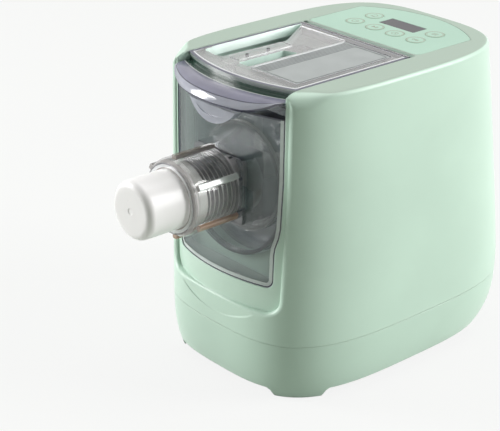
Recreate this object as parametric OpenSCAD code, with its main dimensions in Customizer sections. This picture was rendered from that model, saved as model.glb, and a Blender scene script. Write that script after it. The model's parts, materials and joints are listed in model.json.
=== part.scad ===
// Electric pasta maker: a kneading cup under a clear lid, an extruding nozzle at
// the front and a geared motor behind. The front faces -Y and the machine stands
// on z = 0, with the origin in the middle of its feet.

/* [Housing] */
// Height from the table to the flat top
body_h = 300; // [290:1:320]
// Width where the housing is widest
body_w = 229; // [222:1:245]
// Width across the flat top
top_w = 210; // [206:1:218]
// Width at the table
foot_w = 210; // [202:1:216]
// Depth in front of the origin where the housing is widest
front_d = 148.5; // [148:0.5:152]
// Depth behind the origin where the housing is widest
rear_d = 172; // [168:1:184]
// Depth behind the origin at the flat top
top_rear_d = 143; // [141:1:150]
// Wall of the housing
wall = 3; // [2.6:0.1:3.6]
// Height of the seam between the base and the housing
seam_z = 58; // [54:1:64]
// Height of the arches between the feet
arch_h = 9.6; // [7:0.2:12]

/* [Mixing bay] */
// Clear width of the bay under the lid
bay_w = 146; // [142:1:148]
// Depth of the bay behind the origin
bay_rear_d = 31; // [28:1:33]
// Distance of the shaft below the flat top
axis_drop = 102; // [98:1:106]
// Wall of the mixing cup
cup_wall = 2.5; // [2:0.1:3.5]
// Distance of the cup's rim below the flat top
rim_drop = 24; // [22:1:30]
// Thickness of the lid's plate
lid_t = 3; // [2.5:0.1:4]

/* [Nozzle] */
// Diameter of the nozzle nut without its ribs
nut_d = 73; // [70:0.5:78]
// Length of the nozzle nut
nut_l = 50; // [46:1:56]
// Number of grip ribs on the nut
nut_ribs = 6; // [4:1:8]
// Diameter of the pasta die
die_d = 55; // [48:0.5:56]
// Length of the die in front of the nut
die_l = 44; // [36:1:52]
// Number of outlet slots under the die
die_slots = 5; // [3:1:6]
// Bore of the extruding barrel
barrel_bore = 46; // [40:1:48]

/* [Controls] */
// Diameter of a key
key_d = 19; // [16:0.5:20]
// Travel of a key
key_travel = 0.6; // [0.4:0.1:1]
// Width of the display window
display_w = 46; // [40:1:48]
// Depth of the display window
display_l = 20; // [16:1:22]

/* [Drive] */
// Tooth module of the gears
gear_mod = 2; // [1.9:0.05:2.1]
// Width of a gear
gear_t = 8; // [6:0.5:9]
// Diameter of the output shaft
shaft_d = 12; // [10:0.5:13]
// Diameter of the motor's can
motor_d = 68; // [60:1:72]
// Length of the motor's can
motor_l = 68; // [60:1:72]

/* [Hidden] */
$fn = 72;

MINT = [0.76, 0.85, 0.79];
MINT_GLOSS = [0.72, 0.84, 0.76];
SMOKE = [0.55, 0.58, 0.62, 0.5];
CLEAR = [0.8, 0.82, 0.85, 0.4];
WHITE = [0.93, 0.93, 0.92];
DARK = [0.16, 0.17, 0.18];
STEEL = [0.7, 0.71, 0.73];
NYLON = [0.9, 0.88, 0.8];
BOARD_GREEN = [0.1, 0.35, 0.2];

slide_gap = 0.3;        // between parts that slide or turn apart
pin_gap = 0.05;         // round a pin, screw or shaft in its bore
big = 500;

// ---- outline of the body -------------------------------------------------
mid_z = 75;             // level of the widest outline
foot_d = 140;           // half depth at the table
top_front_d = front_d - 1.5;
edge_r = 4;             // round of the top's edge
top_t = wall + 1;       // the top plate is a little thicker
outline_n = 88;         // points round the outer skin
inner_n = 44;           // points round the inner skin

// How far the outline has grown from the feet, and shrunk towards the top
function grown(z) = 1 - pow(1 - min(z, mid_z) / mid_z, 3.7);
function drawn_in(z) = pow(max(z - mid_z, 0) / (body_h - mid_z), 1.12);
function level(low, mid, top, z) = low + (mid - low) * grown(z) + (top - mid) * drawn_in(z);
function half_w(z) = level(foot_w, body_w, top_w, z) / 2;
function front_y(z) = -level(foot_d, front_d, top_front_d, z);
function rear_y(z) = level(foot_d, rear_d, top_rear_d, z);
function squareness(z, s) = s < 0 ? 3.4 + 0.5 * drawn_in(z) : 3.6;

// A squared oval at height z, inset by g, with its points drawn to the corners
function oval(z, g, n) = [for (i = [0 : n - 1])
    let (t = 360 * i / n, w = t - 6.9 * sin(4 * t), c = cos(w), s = sin(w),
         e = squareness(z, s),
         r = pow(pow(abs(c), e) + pow(abs(s), e), -1 / e) * (1 - 0.004 * pow(sin(2 * w), 2)),
         yf = front_y(z) + g, yr = rear_y(z) - g)
    [(half_w(z) - g) * r * c, (yf + yr) / 2 + (yr - yf) / 2 * r * s]];

// Closed skin through rings given as [height, inset, level whose outline is used]
module loft(rings, n) {
    points = [for (r = rings) for (p = oval(r[2], r[1], n)) [p[0], p[1], r[0]]];
    last = (len(rings) - 1) * n;
    sides = [for (k = [0 : len(rings) - 2]) for (i = [0 : n - 1])
        let (a = k * n + i, b = k * n + (i + 1) % n)
        each [[a, a + n, b], [b, a + n, b + n]]];
    polyhedron(points, concat([[for (i = [0 : n - 1]) i]], sides,
        [[for (i = [n - 1 : -1 : 0]) last + i]]), convexity = 6);
}

function plain_rings(heights, g) = [for (z = heights) [z, g, z]];

// Prism along Y of a shape drawn in X and Z
module along_y(y0, y1) {
    translate([0, y1, 0]) rotate([90, 0, 0]) linear_extrude(y1 - y0) children();
}

// Prism along X of a shape drawn in Y and Z
module along_x(x0, x1) {
    translate([x0, 0, 0]) rotate([90, 0, 90]) linear_extrude(x1 - x0) children();
}

// Round bar or ring along Y on an axis at x, z
module rod_y(r, y0, y1, x = 0, z = 0, r2 = -1) {
    translate([x, y0, z]) rotate([-90, 0, 0]) cylinder(h = y1 - y0, r1 = r, r2 = r2 < 0 ? r : r2);
}

module rod_x(r, x0, x1, y, z) {
    translate([x0, y, z]) rotate([0, 90, 0]) cylinder(h = x1 - x0, r = r);
}

module box(x0, x1, y0, y1, z0, z1) {
    translate([x0, y0, z0]) cube([x1 - x0, y1 - y0, z1 - z0]);
}

module mirrored() {
    children();
    mirror([1, 0, 0]) children();
}

// Vertical round wall that the front panel follows
arc_r = 180;
arc_y = arc_r - front_d + 2.5;  // its centre, in the middle of the machine
module arc_drum(r, z0, z1) {
    translate([0, arc_y, z0]) cylinder(h = z1 - z0, r = r, $fn = 180);
}

// ---- levels and places shared by the pieces ------------------------------
axis_z = body_h - axis_drop;
bay_x = bay_w / 2;
liner_wall = 2.5;
liner_top = body_h - top_t;
lid_x = bay_x - 1;
window_z = 88;          // lower rim of the recess in the front
window_x = bay_x + 4;
sill_z = 111;           // top of the sill under the front panel
floor_z = arch_h + 4;   // inside of the base's floor
base_wall = wall + 2.5;
tongue_z = seam_z + 8;  // top of the base's tongue inside the housing
panel_front = arc_y - arc_r;
panel_wall = 2.5;
panel_x = bay_x - slide_gap;
panel_z0 = sill_z + slide_gap;
panel_z1 = body_h - rim_drop;
cup_r = bay_x - slide_gap;
cup_front = panel_front + 34;
cup_rear = bay_rear_d - 4.5;
hub_rear = cup_rear - cup_wall - slide_gap;
nut_rear = panel_front - 4.3;
nut_front = nut_rear - nut_l;
die_front = nut_front - die_l;
flange_t = 4;           // the die's flange, inside the nut
nut_lip = 4;
barrel_end = nut_front + nut_lip + flange_t + 2 * slide_gap;
neck_r = nut_d / 2 - 5.6;
post_x = foot_w / 2 - 8;
post_y = 50;
boss_x = half_w(seam_z) - wall + 0.1;  // where a boss's web ends in the wall

// ---- housing and base ----------------------------------------------------
module outer_skin() {
    edge = [for (t = [0 : 30 : 90]) [body_h - edge_r + edge_r * sin(t), edge_r * (1 - cos(t)), body_h]];
    loft(concat(plain_rings([seam_z, 75, 100, 140, 185, 235, 275], 0), edge), outline_n);
}

module inner_skin() {
    loft(plain_rings([seam_z - 1, 90, 180, body_h - top_t], wall), inner_n);
}

// Outline of the opening seen from the front, with round lower corners
module front_opening(half, z0, r) {
    translate([-half + r, z0]) square([2 * (half - r), big]);
    translate([-half, z0 + r]) square([2 * half, big]);
    mirrored() translate([half - r, z0 + r]) circle(r);
}

// The recess round the front panel goes in to the round wall
module window_recess() {
    difference() {
        along_y(-big, arc_y - 100) front_opening(window_x, window_z, 14);
        arc_drum(arc_r + 0.5, 0, body_h + 10);
    }
}

module shallow_smile() {
    smile_r = 100;
    depth_r = 400;
    intersection() {
        rod_y(smile_r, -big, 0, 0, window_z - 18 + smile_r);
        difference() {
            box(-75, 75, -big, -100, 60, 130);
            translate([0, depth_r - front_d + 1.8, 0]) cylinder(h = 200, r = depth_r, $fn = 180);
        }
    }
}

// Ring of wall that carries the front panel, behind the outer skin
module front_frame() {
    intersection() {
        difference() {
            arc_drum(arc_r + 0.5, window_z - 4, body_h - 1);
            arc_drum(arc_r - 2.5, 0, big);
        }
        box(-window_x - 2.5, window_x + 2.5, -big, 0, 0, big);
    }
}

module top_opening() {
    r = 3;
    linear_extrude(30) {
        translate([-bay_x, -big]) square([2 * bay_x, big + bay_rear_d - r]);
        translate([-bay_x + r, 0]) square([2 * (bay_x - r), bay_rear_d]);
        mirrored() translate([bay_x - r, bay_rear_d - r]) circle(r);
    }
}

// D-shaped outline of the control panel, grown by g
panel_y0 = bay_rear_d + 2;
panel_y1 = top_rear_d - 10;
d_arc = 114;
module d_outline(g) {
    offset(r = 7 + g, $fn = 32) offset(delta = -7) intersection() {
        translate([-bay_x, panel_y0]) square([2 * bay_x, panel_y1 - panel_y0 + 1]);
        translate([0, panel_y1 - d_arc]) circle(d_arc, $fn = 120);
    }
}

vent_n = 9;
module housing_shell() {
    color(MINT) difference() {
        union() {
            difference() {
                outer_skin();
                inner_skin();
            }
            front_frame();
            for (s = [-1, 1], y = [-post_y, post_y]) {
                translate([s * post_x, y, tongue_z]) cylinder(h = 26, r = 6, $fn = 32);
                translate([s * (post_x + boss_x) / 2, y, tongue_z + 13])
                    cube([boss_x - post_x, 4, 26], center = true);
            }
        }
        window_recess();
        shallow_smile();
        along_y(-big, panel_front + 46) front_opening(bay_x, sill_z, 9);
        translate([0, 0, body_h - 20]) top_opening();
        translate([0, 0, body_h - 2]) linear_extrude(5) d_outline(slide_gap);
        translate([0, 0, body_h - 10]) linear_extrude(15) d_outline(-6);
        for (s = [-1, 1], y = [-post_y, post_y])
            translate([s * post_x, y, tongue_z - 1]) cylinder(h = 22, r = 2 + pin_gap, $fn = 24);
        for (i = [0 : vent_n - 1])
            box(-32 + 8 * i - 2, -32 + 8 * i + 2, 100, 250, 76, 124);
    }
}

// The arches leave a foot at each corner
arch_x = foot_w / 2 - 43;
arch_y0 = 46 - foot_d;
arch_y1 = foot_d - 32;
module arches() {
    cut = arch_h;
    along_y(-big, big) polygon([[-arch_x - 4, -1], [arch_x + 4, -1], [arch_x + 4, 0], [arch_x, cut],
        [-arch_x, cut], [-arch_x - 4, 0]]);
    along_x(-big, big) polygon([[arch_y0 - 4, -1], [arch_y1 + 4, -1], [arch_y1 + 4, 0], [arch_y1, cut],
        [arch_y0, cut], [arch_y0 - 4, 0]]);
}

pad_r = 6;
pad_x = foot_w / 2 - 30;
pad_front_y = 31 - foot_d;
pad_rear_y = foot_d - 21;
pad_out = 0.6;
inlet_z = seam_z - 15;
inlet_seat = rear_y(inlet_z - 13) - 3.2;
pcb_x = 40;
pcb_y0 = -78;
pcb_y1 = -8;
pcb_z = floor_z + 10;

module base_shell() {
    color(MINT) difference() {
        union() {
            difference() {
                union() {
                    loft(concat([[pad_out, 0, 0]], plain_rings([4, 9, 18, 30, 44, seam_z], 0)), outline_n);
                    loft(plain_rings([seam_z - 10, seam_z, seam_z + 4, tongue_z], wall + 2 * slide_gap), inner_n);
                }
                loft(plain_rings([floor_z, 22, 34, seam_z, tongue_z + 1], base_wall), inner_n);
            }
            for (s = [-1, 1], y = [-post_y, post_y])
                translate([s * post_x, y, floor_z - 1]) cylinder(h = tongue_z - floor_z + 1, r = 6.5, $fn = 32);
            for (s = [-1, 1], y = [pcb_y0 + 5, pcb_y1 - 5])
                translate([s * (pcb_x - 5), y, floor_z - 1]) cylinder(h = pcb_z - floor_z + 1, r = 3, $fn = 24);
            box(-22, 22, inlet_seat - 3, inlet_seat + 0.5, inlet_z - 16, seam_z);
        }
        arches();
        for (s = [-1, 1], y = [-post_y, post_y]) translate([s * post_x, y, 0]) {
            cylinder(h = 40, r = 4.2, $fn = 32);
            cylinder(h = big, r = 2 + pin_gap, $fn = 24);
        }
        for (s = [-1, 1], y = [pad_front_y, pad_rear_y])
            translate([s * pad_x, y, -1]) cylinder(h = 3.2, r = pad_r + pin_gap, $fn = 40);
        box(-18, 18, inlet_seat, big, inlet_z - 14, inlet_z + 14);
        box(-14, 14, 100, big, inlet_z - 10, inlet_z + 10);
        for (i = [0 : 5]) box(-30, 30, 84 + 8 * i, 87 + 8 * i, 0, floor_z + 1);
    }
}

module foot_pad(x, y) {
    color(DARK) translate([x, y, 0]) cylinder(h = 2.2, r = pad_r, $fn = 40);
}

module foot_pad_front_left() { foot_pad(-pad_x, pad_front_y); }
module foot_pad_front_right() { foot_pad(pad_x, pad_front_y); }
module foot_pad_rear_left() { foot_pad(-pad_x, pad_rear_y); }
module foot_pad_rear_right() { foot_pad(pad_x, pad_rear_y); }

module base_screws() {
    color(STEEL) for (s = [-1, 1], y = [-post_y, post_y]) translate([s * post_x, y, 0]) {
        translate([0, 0, 37.5]) cylinder(h = 2.5, r = 3.8, $fn = 32);
        translate([0, 0, 39]) cylinder(h = 44, r = 2, $fn = 24);
    }
}

// ---- bay liner and what carries it ---------------------------------------
// Trough outline: straight walls over a half round, about the shaft's axis
module trough(r, top) {
    translate([0, axis_z]) circle(r, $fn = 96);
    translate([-r, axis_z]) square([2 * r, top - axis_z]);
}

flange_y = panel_front + 21.5;
hinge_y = bay_rear_d - 7;
hinge_r = 6.5;          // round rear edge of the lid
hinge_z = body_h - hinge_r;
pin_r = 1.5;
skirt_h = 11.5;         // depth of the lid's skirt from its top
ledge_t = 4;            // ledge at each side that the skirt rests on
seal_r = shaft_d / 2 + 6;
module bay_liner() {
    color(MINT) difference() {
        union() {
            along_y(flange_y, bay_rear_d + 3) trough(bay_x + liner_wall, liner_top);
            along_y(flange_y, flange_y + 3) difference() {
                front_opening(window_x + 1, sill_z - 6, 12);
                translate([-big, liner_top]) square([2 * big, big]);
            }
            mirrored() rod_x(5, bay_x, bay_x + liner_wall + 3, hinge_y, liner_top - 5);
        }
        difference() {
            along_y(-big, bay_rear_d) trough(bay_x, big);
            mirrored() box(lid_x - 2.4, bay_x + 1, cup_front + 2, cup_front + 32,
                body_h - skirt_h - 0.1 - ledge_t, body_h - skirt_h - 0.1);
        }
        rod_y(seal_r + pin_gap, 0, 100, 0, axis_z);
        mirrored() rod_x(pin_r + pin_gap, bay_x - 1, bay_x + liner_wall + 2, hinge_y, hinge_z);
    }
}

cradle_x = bay_x - 15;
cradle_web = 25;        // left under the trough, above the window
module cradle(y) {
    color(DARK) along_y(y, y + 4) difference() {
        translate([-cradle_x, floor_z]) square([2 * cradle_x, axis_z - floor_z - 40]);
        trough(bay_x + liner_wall + pin_gap, body_h);
        translate([-34, floor_z + 14])
            square([68, axis_z - bay_x - liner_wall - cradle_web - floor_z - 14]);
    }
}

module front_cradle() { cradle(cup_front + 20); }
module rear_cradle() { cradle(4); }

module liner_shaft_seal() {
    color(DARK) difference() {
        rod_y(seal_r, bay_rear_d, bay_rear_d + 3, 0, axis_z);
        rod_y(shaft_d / 2 + pin_gap, 0, 100, 0, axis_z);
    }
}

// ---- control panel -------------------------------------------------------
board_z = body_h - 12;  // top of the control board
key_col = 40;
key_row = [66, 93];
display_y = 91;
key_places = [[-key_col, key_row[0]], [-key_col, key_row[1]], [-key_col / 3, key_row[0]],
    [key_col / 3, key_row[0]], [key_col, key_row[0]], [key_col, key_row[1]]];
board_posts = [[-58, 44], [58, 44], [-46, 108], [46, 108]];

module control_panel() {
    color(MINT_GLOSS) difference() {
        union() {
            translate([0, 0, body_h - 2]) linear_extrude(2) d_outline(0);
            for (p = board_posts)
                translate([p[0], p[1], board_z]) cylinder(h = body_h - 1 - board_z, r = 3.5, $fn = 32);
        }
        for (p = key_places)
            translate([p[0], p[1], body_h - 3]) cylinder(h = 5, r = key_d / 2 + 0.2, $fn = 60);
        translate([-display_w / 2, display_y - display_l / 2, body_h - 3]) cube([display_w, display_l, 5]);
        for (p = board_posts)
            translate([p[0], p[1], board_z - 1]) cylinder(h = 8, r = 1.5 + pin_gap, $fn = 24);
    }
}

module display_window() {
    color(DARK) translate([-display_w / 2 + 0.1, display_y - display_l / 2 + 0.1, body_h - 2])
        cube([display_w - 0.2, display_l - 0.2, 1.9]);
}

module control_board() {
    color(BOARD_GREEN) difference() {
        box(9 - bay_x, bay_x - 9, panel_y0 + 6, panel_y1 - 17, board_z - 1.6, board_z);
        for (p = board_posts) translate([p[0], p[1], 0]) cylinder(h = big, r = 1.7, $fn = 24);
    }
}

module display_module() {
    color(WHITE) box(-display_w / 2 + 2, display_w / 2 - 2, display_y - display_l / 2 + 1,
        display_y + display_l / 2 - 1, board_z, body_h - 2);
}

switch_h = 3.6;
module key_switches() {
    color(DARK) for (p = key_places)
        translate([p[0] - 3, p[1] - 3, board_z]) cube([6, 6, switch_h]);
}

module board_screws() {
    color(STEEL) for (p = board_posts) translate([p[0], p[1], 0]) {
        translate([0, 0, board_z - 3.6]) cylinder(h = 2, r = 3, $fn = 24);
        translate([0, 0, board_z - 2]) cylinder(h = 8, r = 1.5, $fn = 24);
    }
}

// Cap with a retaining flange and a stem that stands on its switch
module key_cap(i) {
    p = key_places[i];
    color(MINT_GLOSS) translate([p[0], p[1], 0]) {
        translate([0, 0, body_h - 3]) cylinder(h = 3.3, r = key_d / 2, $fn = 60);
        translate([0, 0, body_h - 3.1]) cylinder(h = 1, r = key_d / 2 + 1, $fn = 60);
        translate([0, 0, board_z + switch_h + key_travel + 0.1])
            cylinder(h = body_h - 3 - board_z - switch_h - key_travel, r = 2, $fn = 32);
    }
}

module key_power() { key_cap(0); }
module key_program() { key_cap(1); }
module key_start() { key_cap(2); }
module key_time() { key_cap(3); }
module key_extrude() { key_cap(4); }
module key_menu() { key_cap(5); }

// ---- lid -----------------------------------------------------------------
lid_arc_y = arc_y + 13; // centre of the lid's front edge
shelf_r = 161;          // crest of the lip
shelf_arc_y = arc_y - 17;
visor_r = 120;          // lower edge of the lip
visor_arc_y = arc_y - 75;
lip_drop = 21;          // of the lip's lower edge below the top
function arc_front(r, yc, x) = yc - sqrt(r * r - x * x);

// Section of the front wall and visor-like lip at x: wall, shelf, crest, lower edge and back again
skirt_t = 2.2;
function lip_section(x) = let (a = arc_front(arc_r, lid_arc_y, x) + 1,
        b = arc_front(shelf_r, shelf_arc_y, x), c = arc_front(visor_r, visor_arc_y, x))
    [[a + skirt_t, body_h - lid_t + 1], [a, body_h - lid_t + 1], [a, body_h - 8], [b, body_h - 8],
     [b - 2, body_h - 9], [c, body_h - lip_drop + 1.5], [c + 1.5, body_h - lip_drop],
     [b + 1.5, body_h - skirt_h + 1.5], [a + skirt_t, body_h - skirt_h + 1.5]];

module lid_lip() {
    n = 18;
    half = lid_x - skirt_t / 2;
    rows = [for (k = [0 : n]) let (x = -half + 2 * half * k / n) for (p = lip_section(x)) [x, p[0], p[1]]];
    m = 9;
    sides = [for (k = [0 : n - 1]) for (i = [0 : m - 1])
        let (a = k * m + i, b = k * m + (i + 1) % m) each [[a, a + m, b], [b, a + m, b + m]]];
    cap = [[0, 1, 2, 8], [2, 3, 7, 8], [3, 4, 7], [4, 5, 6, 7]];
    far_cap = [for (f = cap) [for (i = [len(f) - 1 : -1 : 0]) n * m + f[i]]];
    polyhedron(rows, concat(cap, sides, far_cap), convexity = 4);
}

module lid_outline(g) {
    intersection() {
        translate([-lid_x + g, -150]) square([2 * (lid_x - g), 150 + hinge_y]);
        translate([0, lid_arc_y]) circle(arc_r - g, $fn = 180);
    }
}

label_x0 = 0;
label_x1 = lid_x - 11;
label_y0 = cup_front + 5;
label_y1 = hinge_y - 12;
slot_y0 = cup_front + 8;  // front ends of the two slots
slot_y1 = label_y1 + 2;   // rear tip of the liquid slot
hinge_half = lid_x - 0.8; // the hinged end is narrower than the lid
module lid_cover() {
    color(CLEAR) difference() {
        union() {
            translate([0, 0, body_h - lid_t]) linear_extrude(lid_t) lid_outline(0);
            mirrored() box(lid_x - skirt_t, lid_x, arc_front(arc_r, lid_arc_y, lid_x) + 2, hinge_y - 6,
                body_h - skirt_h, body_h - 1);
            lid_lip();
            rod_x(hinge_r, -hinge_half, hinge_half, hinge_y, hinge_z);
        }
        translate([0, 0, body_h - 1.2]) linear_extrude(2)
            translate([label_x0, label_y0]) square([label_x1 - label_x0, label_y1 - label_y0]);
        // liquid slot with a slanted rear end, and a narrow slot beside it
        translate([0, 0, body_h - 10]) linear_extrude(20)
            polygon([[-lid_x + 6, slot_y0 + 16], [-lid_x + 9, slot_y0], [-43, slot_y0], [-40, slot_y0 + 76],
                [-lid_x + 6, slot_y1]]);
        translate([0, 0, body_h - 10]) linear_extrude(20)
            polygon([[-17, slot_y0], [-5, slot_y0], [-5, slot_y0 + 58], [-17, slot_y0 + 54]]);
        for (y = [20, 46]) translate([-30, slot_y0 + y, body_h - 10]) cylinder(h = 20, r = 1.6, $fn = 24);
        mirrored() rod_x(pin_r + pin_gap, lid_x - 12, lid_x + 1, hinge_y, hinge_z);
        mirrored() box(hinge_half, lid_x + 1, hinge_y - hinge_r - 0.5, hinge_y + 10, body_h - skirt_h - 1, body_h + 1);
        box(lid_x - 10, lid_x - 2.2, hinge_y - 14, hinge_y - 7, body_h - 20, body_h - lid_t + 1);
    }
}

module lid_label_plate() {
    color(WHITE) difference() {
        box(label_x0 + 0.1, label_x1 - 0.1, label_y0 + 0.1, label_y1 - 0.1, body_h - 1.2, body_h);
        for (i = [0 : 2]) box(label_x0 + 3 + 2.5 * i, label_x0 + 4 + 2.5 * i, label_y0 + 4, label_y1 - 4,
            body_h - 0.4, body_h + 1);
    }
}

module lid_magnet() {
    color(DARK) box(lid_x - 9.9, lid_x - 2.3, hinge_y - 13.9, hinge_y - 7.1,
        body_h - lid_t - 5, body_h - lid_t + 1);
}

module hinge_pin(s) {
    color(STEEL) rod_x(pin_r, s > 0 ? lid_x - 11 : -bay_x - liner_wall - 1.5,
        s > 0 ? bay_x + liner_wall + 1.5 : -lid_x + 11, hinge_y, hinge_z);
}
module hinge_pin_left() { hinge_pin(-1); }
module hinge_pin_right() { hinge_pin(1); }

module reed_switch() {
    color(WHITE) box(lid_x - 16, lid_x + 4, bay_rear_d + 3, bay_rear_d + 7, liner_top - 9, liner_top);
}

// ---- mixing cup and what turns in it -------------------------------------
cone_r = 49;            // spigot of the front panel in the cup's front wall
module mixing_cup() {
    color(SMOKE) difference() {
        along_y(cup_front, cup_rear) trough(cup_r, panel_z1);
        along_y(cup_front + cup_wall, cup_rear - cup_wall) trough(cup_r - cup_wall, big);
        rod_y(cone_r + slide_gap, cup_front - 1, cup_front + 5, 0, axis_z);
        rod_y(seal_r + pin_gap, cup_rear - 10, cup_rear + 1, 0, axis_z);
    }
}

module cup_shaft_seal() {
    color(DARK) difference() {
        rod_y(seal_r, cup_rear - cup_wall, cup_rear, 0, axis_z);
        rod_y(shaft_d / 2 + slide_gap, 0, 100, 0, axis_z);
    }
}

hub_r = 10;
drive_depth = 15;
hex_r = shaft_d / 2;
sweep_r = cup_r - cup_wall - 9;
auger_y = cup_front + 2;
module mixing_paddle() {
    arms = [hub_rear - 8, (hub_rear + cup_front) / 2, cup_front + 16];
    color(WHITE) difference() {
        union() {
            rod_y(hub_r, auger_y, hub_rear, 0, axis_z);
            for (y = arms, s = [0, 180]) translate([0, y, axis_z]) rotate([0, s, 0]) {
                cylinder(h = sweep_r - 2, r = 4, $fn = 32);
            }
            for (s = [0, 180]) translate([0, 0, axis_z]) rotate([0, s, 0])
                rod_y(4.5, arms[2] - 5, arms[0] + 5, 0, sweep_r - 4.5);
            for (s = [90, 270]) translate([0, (arms[0] + arms[1]) / 2, axis_z]) rotate([0, s, 0])
                cylinder(h = sweep_r, r1 = 6, r2 = 4, $fn = 32);
            for (s = [90, 270]) translate([0, (arms[2] + arms[1]) / 2, axis_z]) rotate([0, s, 0])
                cylinder(h = sweep_r, r1 = 6, r2 = 4, $fn = 32);
        }
        translate([0, hub_rear + 1, axis_z]) rotate([90, 0, 0])
            cylinder(h = drive_depth + 1, r = hex_r + slide_gap, $fn = 6);
    }
}

// Single screw thread: a round section set off the axis and wound along it
auger_turns = 2;
auger_r = barrel_bore / 2 - slide_gap - 0.2;
auger_core = 8;
module screw_thread(length, off, r) {
    n = 14;
    steps = 16 * auger_turns;
    points = [for (k = [0 : steps]) for (i = [0 : n - 1])
        let (a = 360 * auger_turns * k / steps, t = 360 * i / n)
        [off * cos(a) + r * cos(t), off * sin(a) + r * sin(t), length * k / steps]];
    sides = [for (k = [0 : steps - 1]) for (i = [0 : n - 1])
        let (a = k * n + i, b = k * n + (i + 1) % n) each [[a, a + n, b], [b, a + n, b + n]]];
    polyhedron(points, concat([[for (i = [0 : n - 1]) i]], sides,
        [[for (i = [n - 1 : -1 : 0]) steps * n + i]]), convexity = 8);
}

module extruding_auger() {
    len_y = auger_y - barrel_end - 4;
    blade_r = (auger_r + auger_core) / 2;
    color(WHITE) translate([0, auger_y, axis_z]) rotate([90, 0, 0]) {
        screw_thread(len_y, auger_r - blade_r, blade_r);
        translate([0, 0, len_y - 0.5]) cylinder(h = 3.5, r = auger_core - 1, $fn = 48);
    }
}

// ---- front panel with its barrel, nut and die ----------------------------
module panel_prism(g, y0, y1) {
    along_y(y0, y1) difference() {
        front_opening(panel_x - g, panel_z0 + g, 8 - g);
        translate([-big, panel_z1 - g]) square([2 * big, big * 2]);
    }
}

grip_w = 33;
grip_drop = 18;
grip_r = (grip_w * grip_w + grip_drop * grip_drop) / (2 * grip_drop);
shoulder_y = cup_front - 4;
cone_front_r = neck_r + 5;
module front_panel() {
    color(SMOKE) difference() {
        union() {
            // curved face and the rim behind its edge
            intersection() {
                difference() {
                    panel_prism(0, -big, flange_y - slide_gap);
                    difference() {
                        panel_prism(panel_wall, -big, big);
                        difference() {
                            arc_drum(arc_r + 1, 0, big);
                            arc_drum(arc_r - panel_wall, -1, big);
                        }
                    }
                }
                arc_drum(arc_r, 0, big);
            }
            // thumb grip hanging from the top edge
            intersection() {
                rod_y(grip_r, panel_front - 3.5, panel_front + 3, 0, panel_z1 - 1 - grip_drop + grip_r);
                arc_drum(arc_r + 3.5, 0, panel_z1 - 1);
            }
            rod_y(neck_r + 6, nut_rear + slide_gap, panel_front + 4, 0, axis_z);
            rod_y(neck_r, barrel_end, panel_front + 4, 0, axis_z);
            rod_y(cone_front_r, panel_front + 2, shoulder_y, 0, axis_z, cone_r - 1);
            rod_y(cone_r + 4, shoulder_y - 2, shoulder_y, 0, axis_z);
            rod_y(cone_r, shoulder_y - 1, cup_front + cup_wall, 0, axis_z);
            mirrored() box(cone_front_r, panel_x - 1, panel_front + 11, shoulder_y, axis_z + 35, axis_z + 37);
        }
        rod_y(barrel_bore / 2, -big, panel_front + 8, 0, axis_z);
        rod_y(barrel_bore / 2, panel_front + 5, cup_front + cup_wall + 1, 0, axis_z, cone_r - panel_wall);
    }
}

module panel_seal() {
    color(WHITE) difference() {
        rod_y(cone_r + 3.5, shoulder_y, cup_front, 0, axis_z);
        rod_y(cone_r + pin_gap, shoulder_y - 1, cup_front + 1, 0, axis_z);
    }
}

nut_bore = neck_r + slide_gap;
rib_h = 3.8;
module nozzle_nut() {
    r = nut_d / 2;
    color(CLEAR) difference() {
        union() {
            translate([0, nut_rear, axis_z]) rotate([90, 0, 0]) rotate_extrude($fn = 96)
                polygon([[0, 0], [r, 0], [r, nut_l - 7], [r - 1.2, nut_l - 3], [r - 3.5, nut_l], [0, nut_l]]);
            for (i = [0 : nut_ribs - 1]) translate([0, nut_rear, axis_z]) rotate([90, 0, 0])
                rotate([0, 0, 90 + 360 * i / nut_ribs])
                translate([r - 2, -3, 0]) cube([rib_h + 2, 6, nut_l - 5]);
        }
        rod_y(nut_bore, nut_front + nut_lip, big, 0, axis_z);
        rod_y(die_d / 2 + slide_gap, -big, big, 0, axis_z);
    }
}

die_wall = 3;
die_round = 7;
slot_pitch = 6.4;
slot_w = 16;
slot_t = 2;
module pasta_die() {
    r = die_d / 2;
    y0 = nut_front + nut_lip + slide_gap;
    l = y0 - die_front;
    arc = [for (t = [0 : 15 : 90]) [r - die_round + die_round * cos(t), l - die_round + die_round * sin(t)]];
    color(WHITE) difference() {
        union() {
            translate([0, y0, axis_z]) rotate([90, 0, 0]) rotate_extrude($fn = 96)
                polygon(concat([[0, -1], [r, -1]], arc, [[0, l]]));
            rod_y(nut_bore - 0.5, y0, y0 + flange_t, 0, axis_z);
        }
        rod_y(barrel_bore / 2 - 1, die_front + die_wall + 1, big, 0, axis_z);
        translate([0, die_front - 1, axis_z]) rotate([-90, 0, 0]) cylinder(h = 2, r = 1.2, $fn = 24);
        for (i = [0 : die_slots - 1])
            box(-slot_w / 2, slot_w / 2, die_front + 9 + slot_pitch * i, die_front + 9 + slot_t + slot_pitch * i,
                axis_z - r - 1, axis_z - 8);
    }
}

// ---- gears and gearbox ---------------------------------------------------
teeth_motor = 8;
teeth_middle = 36;
teeth_pinion = 10;
teeth_output = 44;
middle_z = axis_z - gear_mod * (teeth_pinion + teeth_output) / 2;
motor_z = middle_z - gear_mod * (teeth_motor + teeth_middle) / 2;
case_y0 = bay_rear_d + 3;
case_wall = 3;
plane_out = case_y0 + case_wall + 3;
plane_mid = plane_out + gear_t + 4;
case_y1 = plane_mid + gear_t + 4;
cover_y1 = case_y1 + case_wall;
middle_r = 4;
rotor_r = 4;

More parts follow.
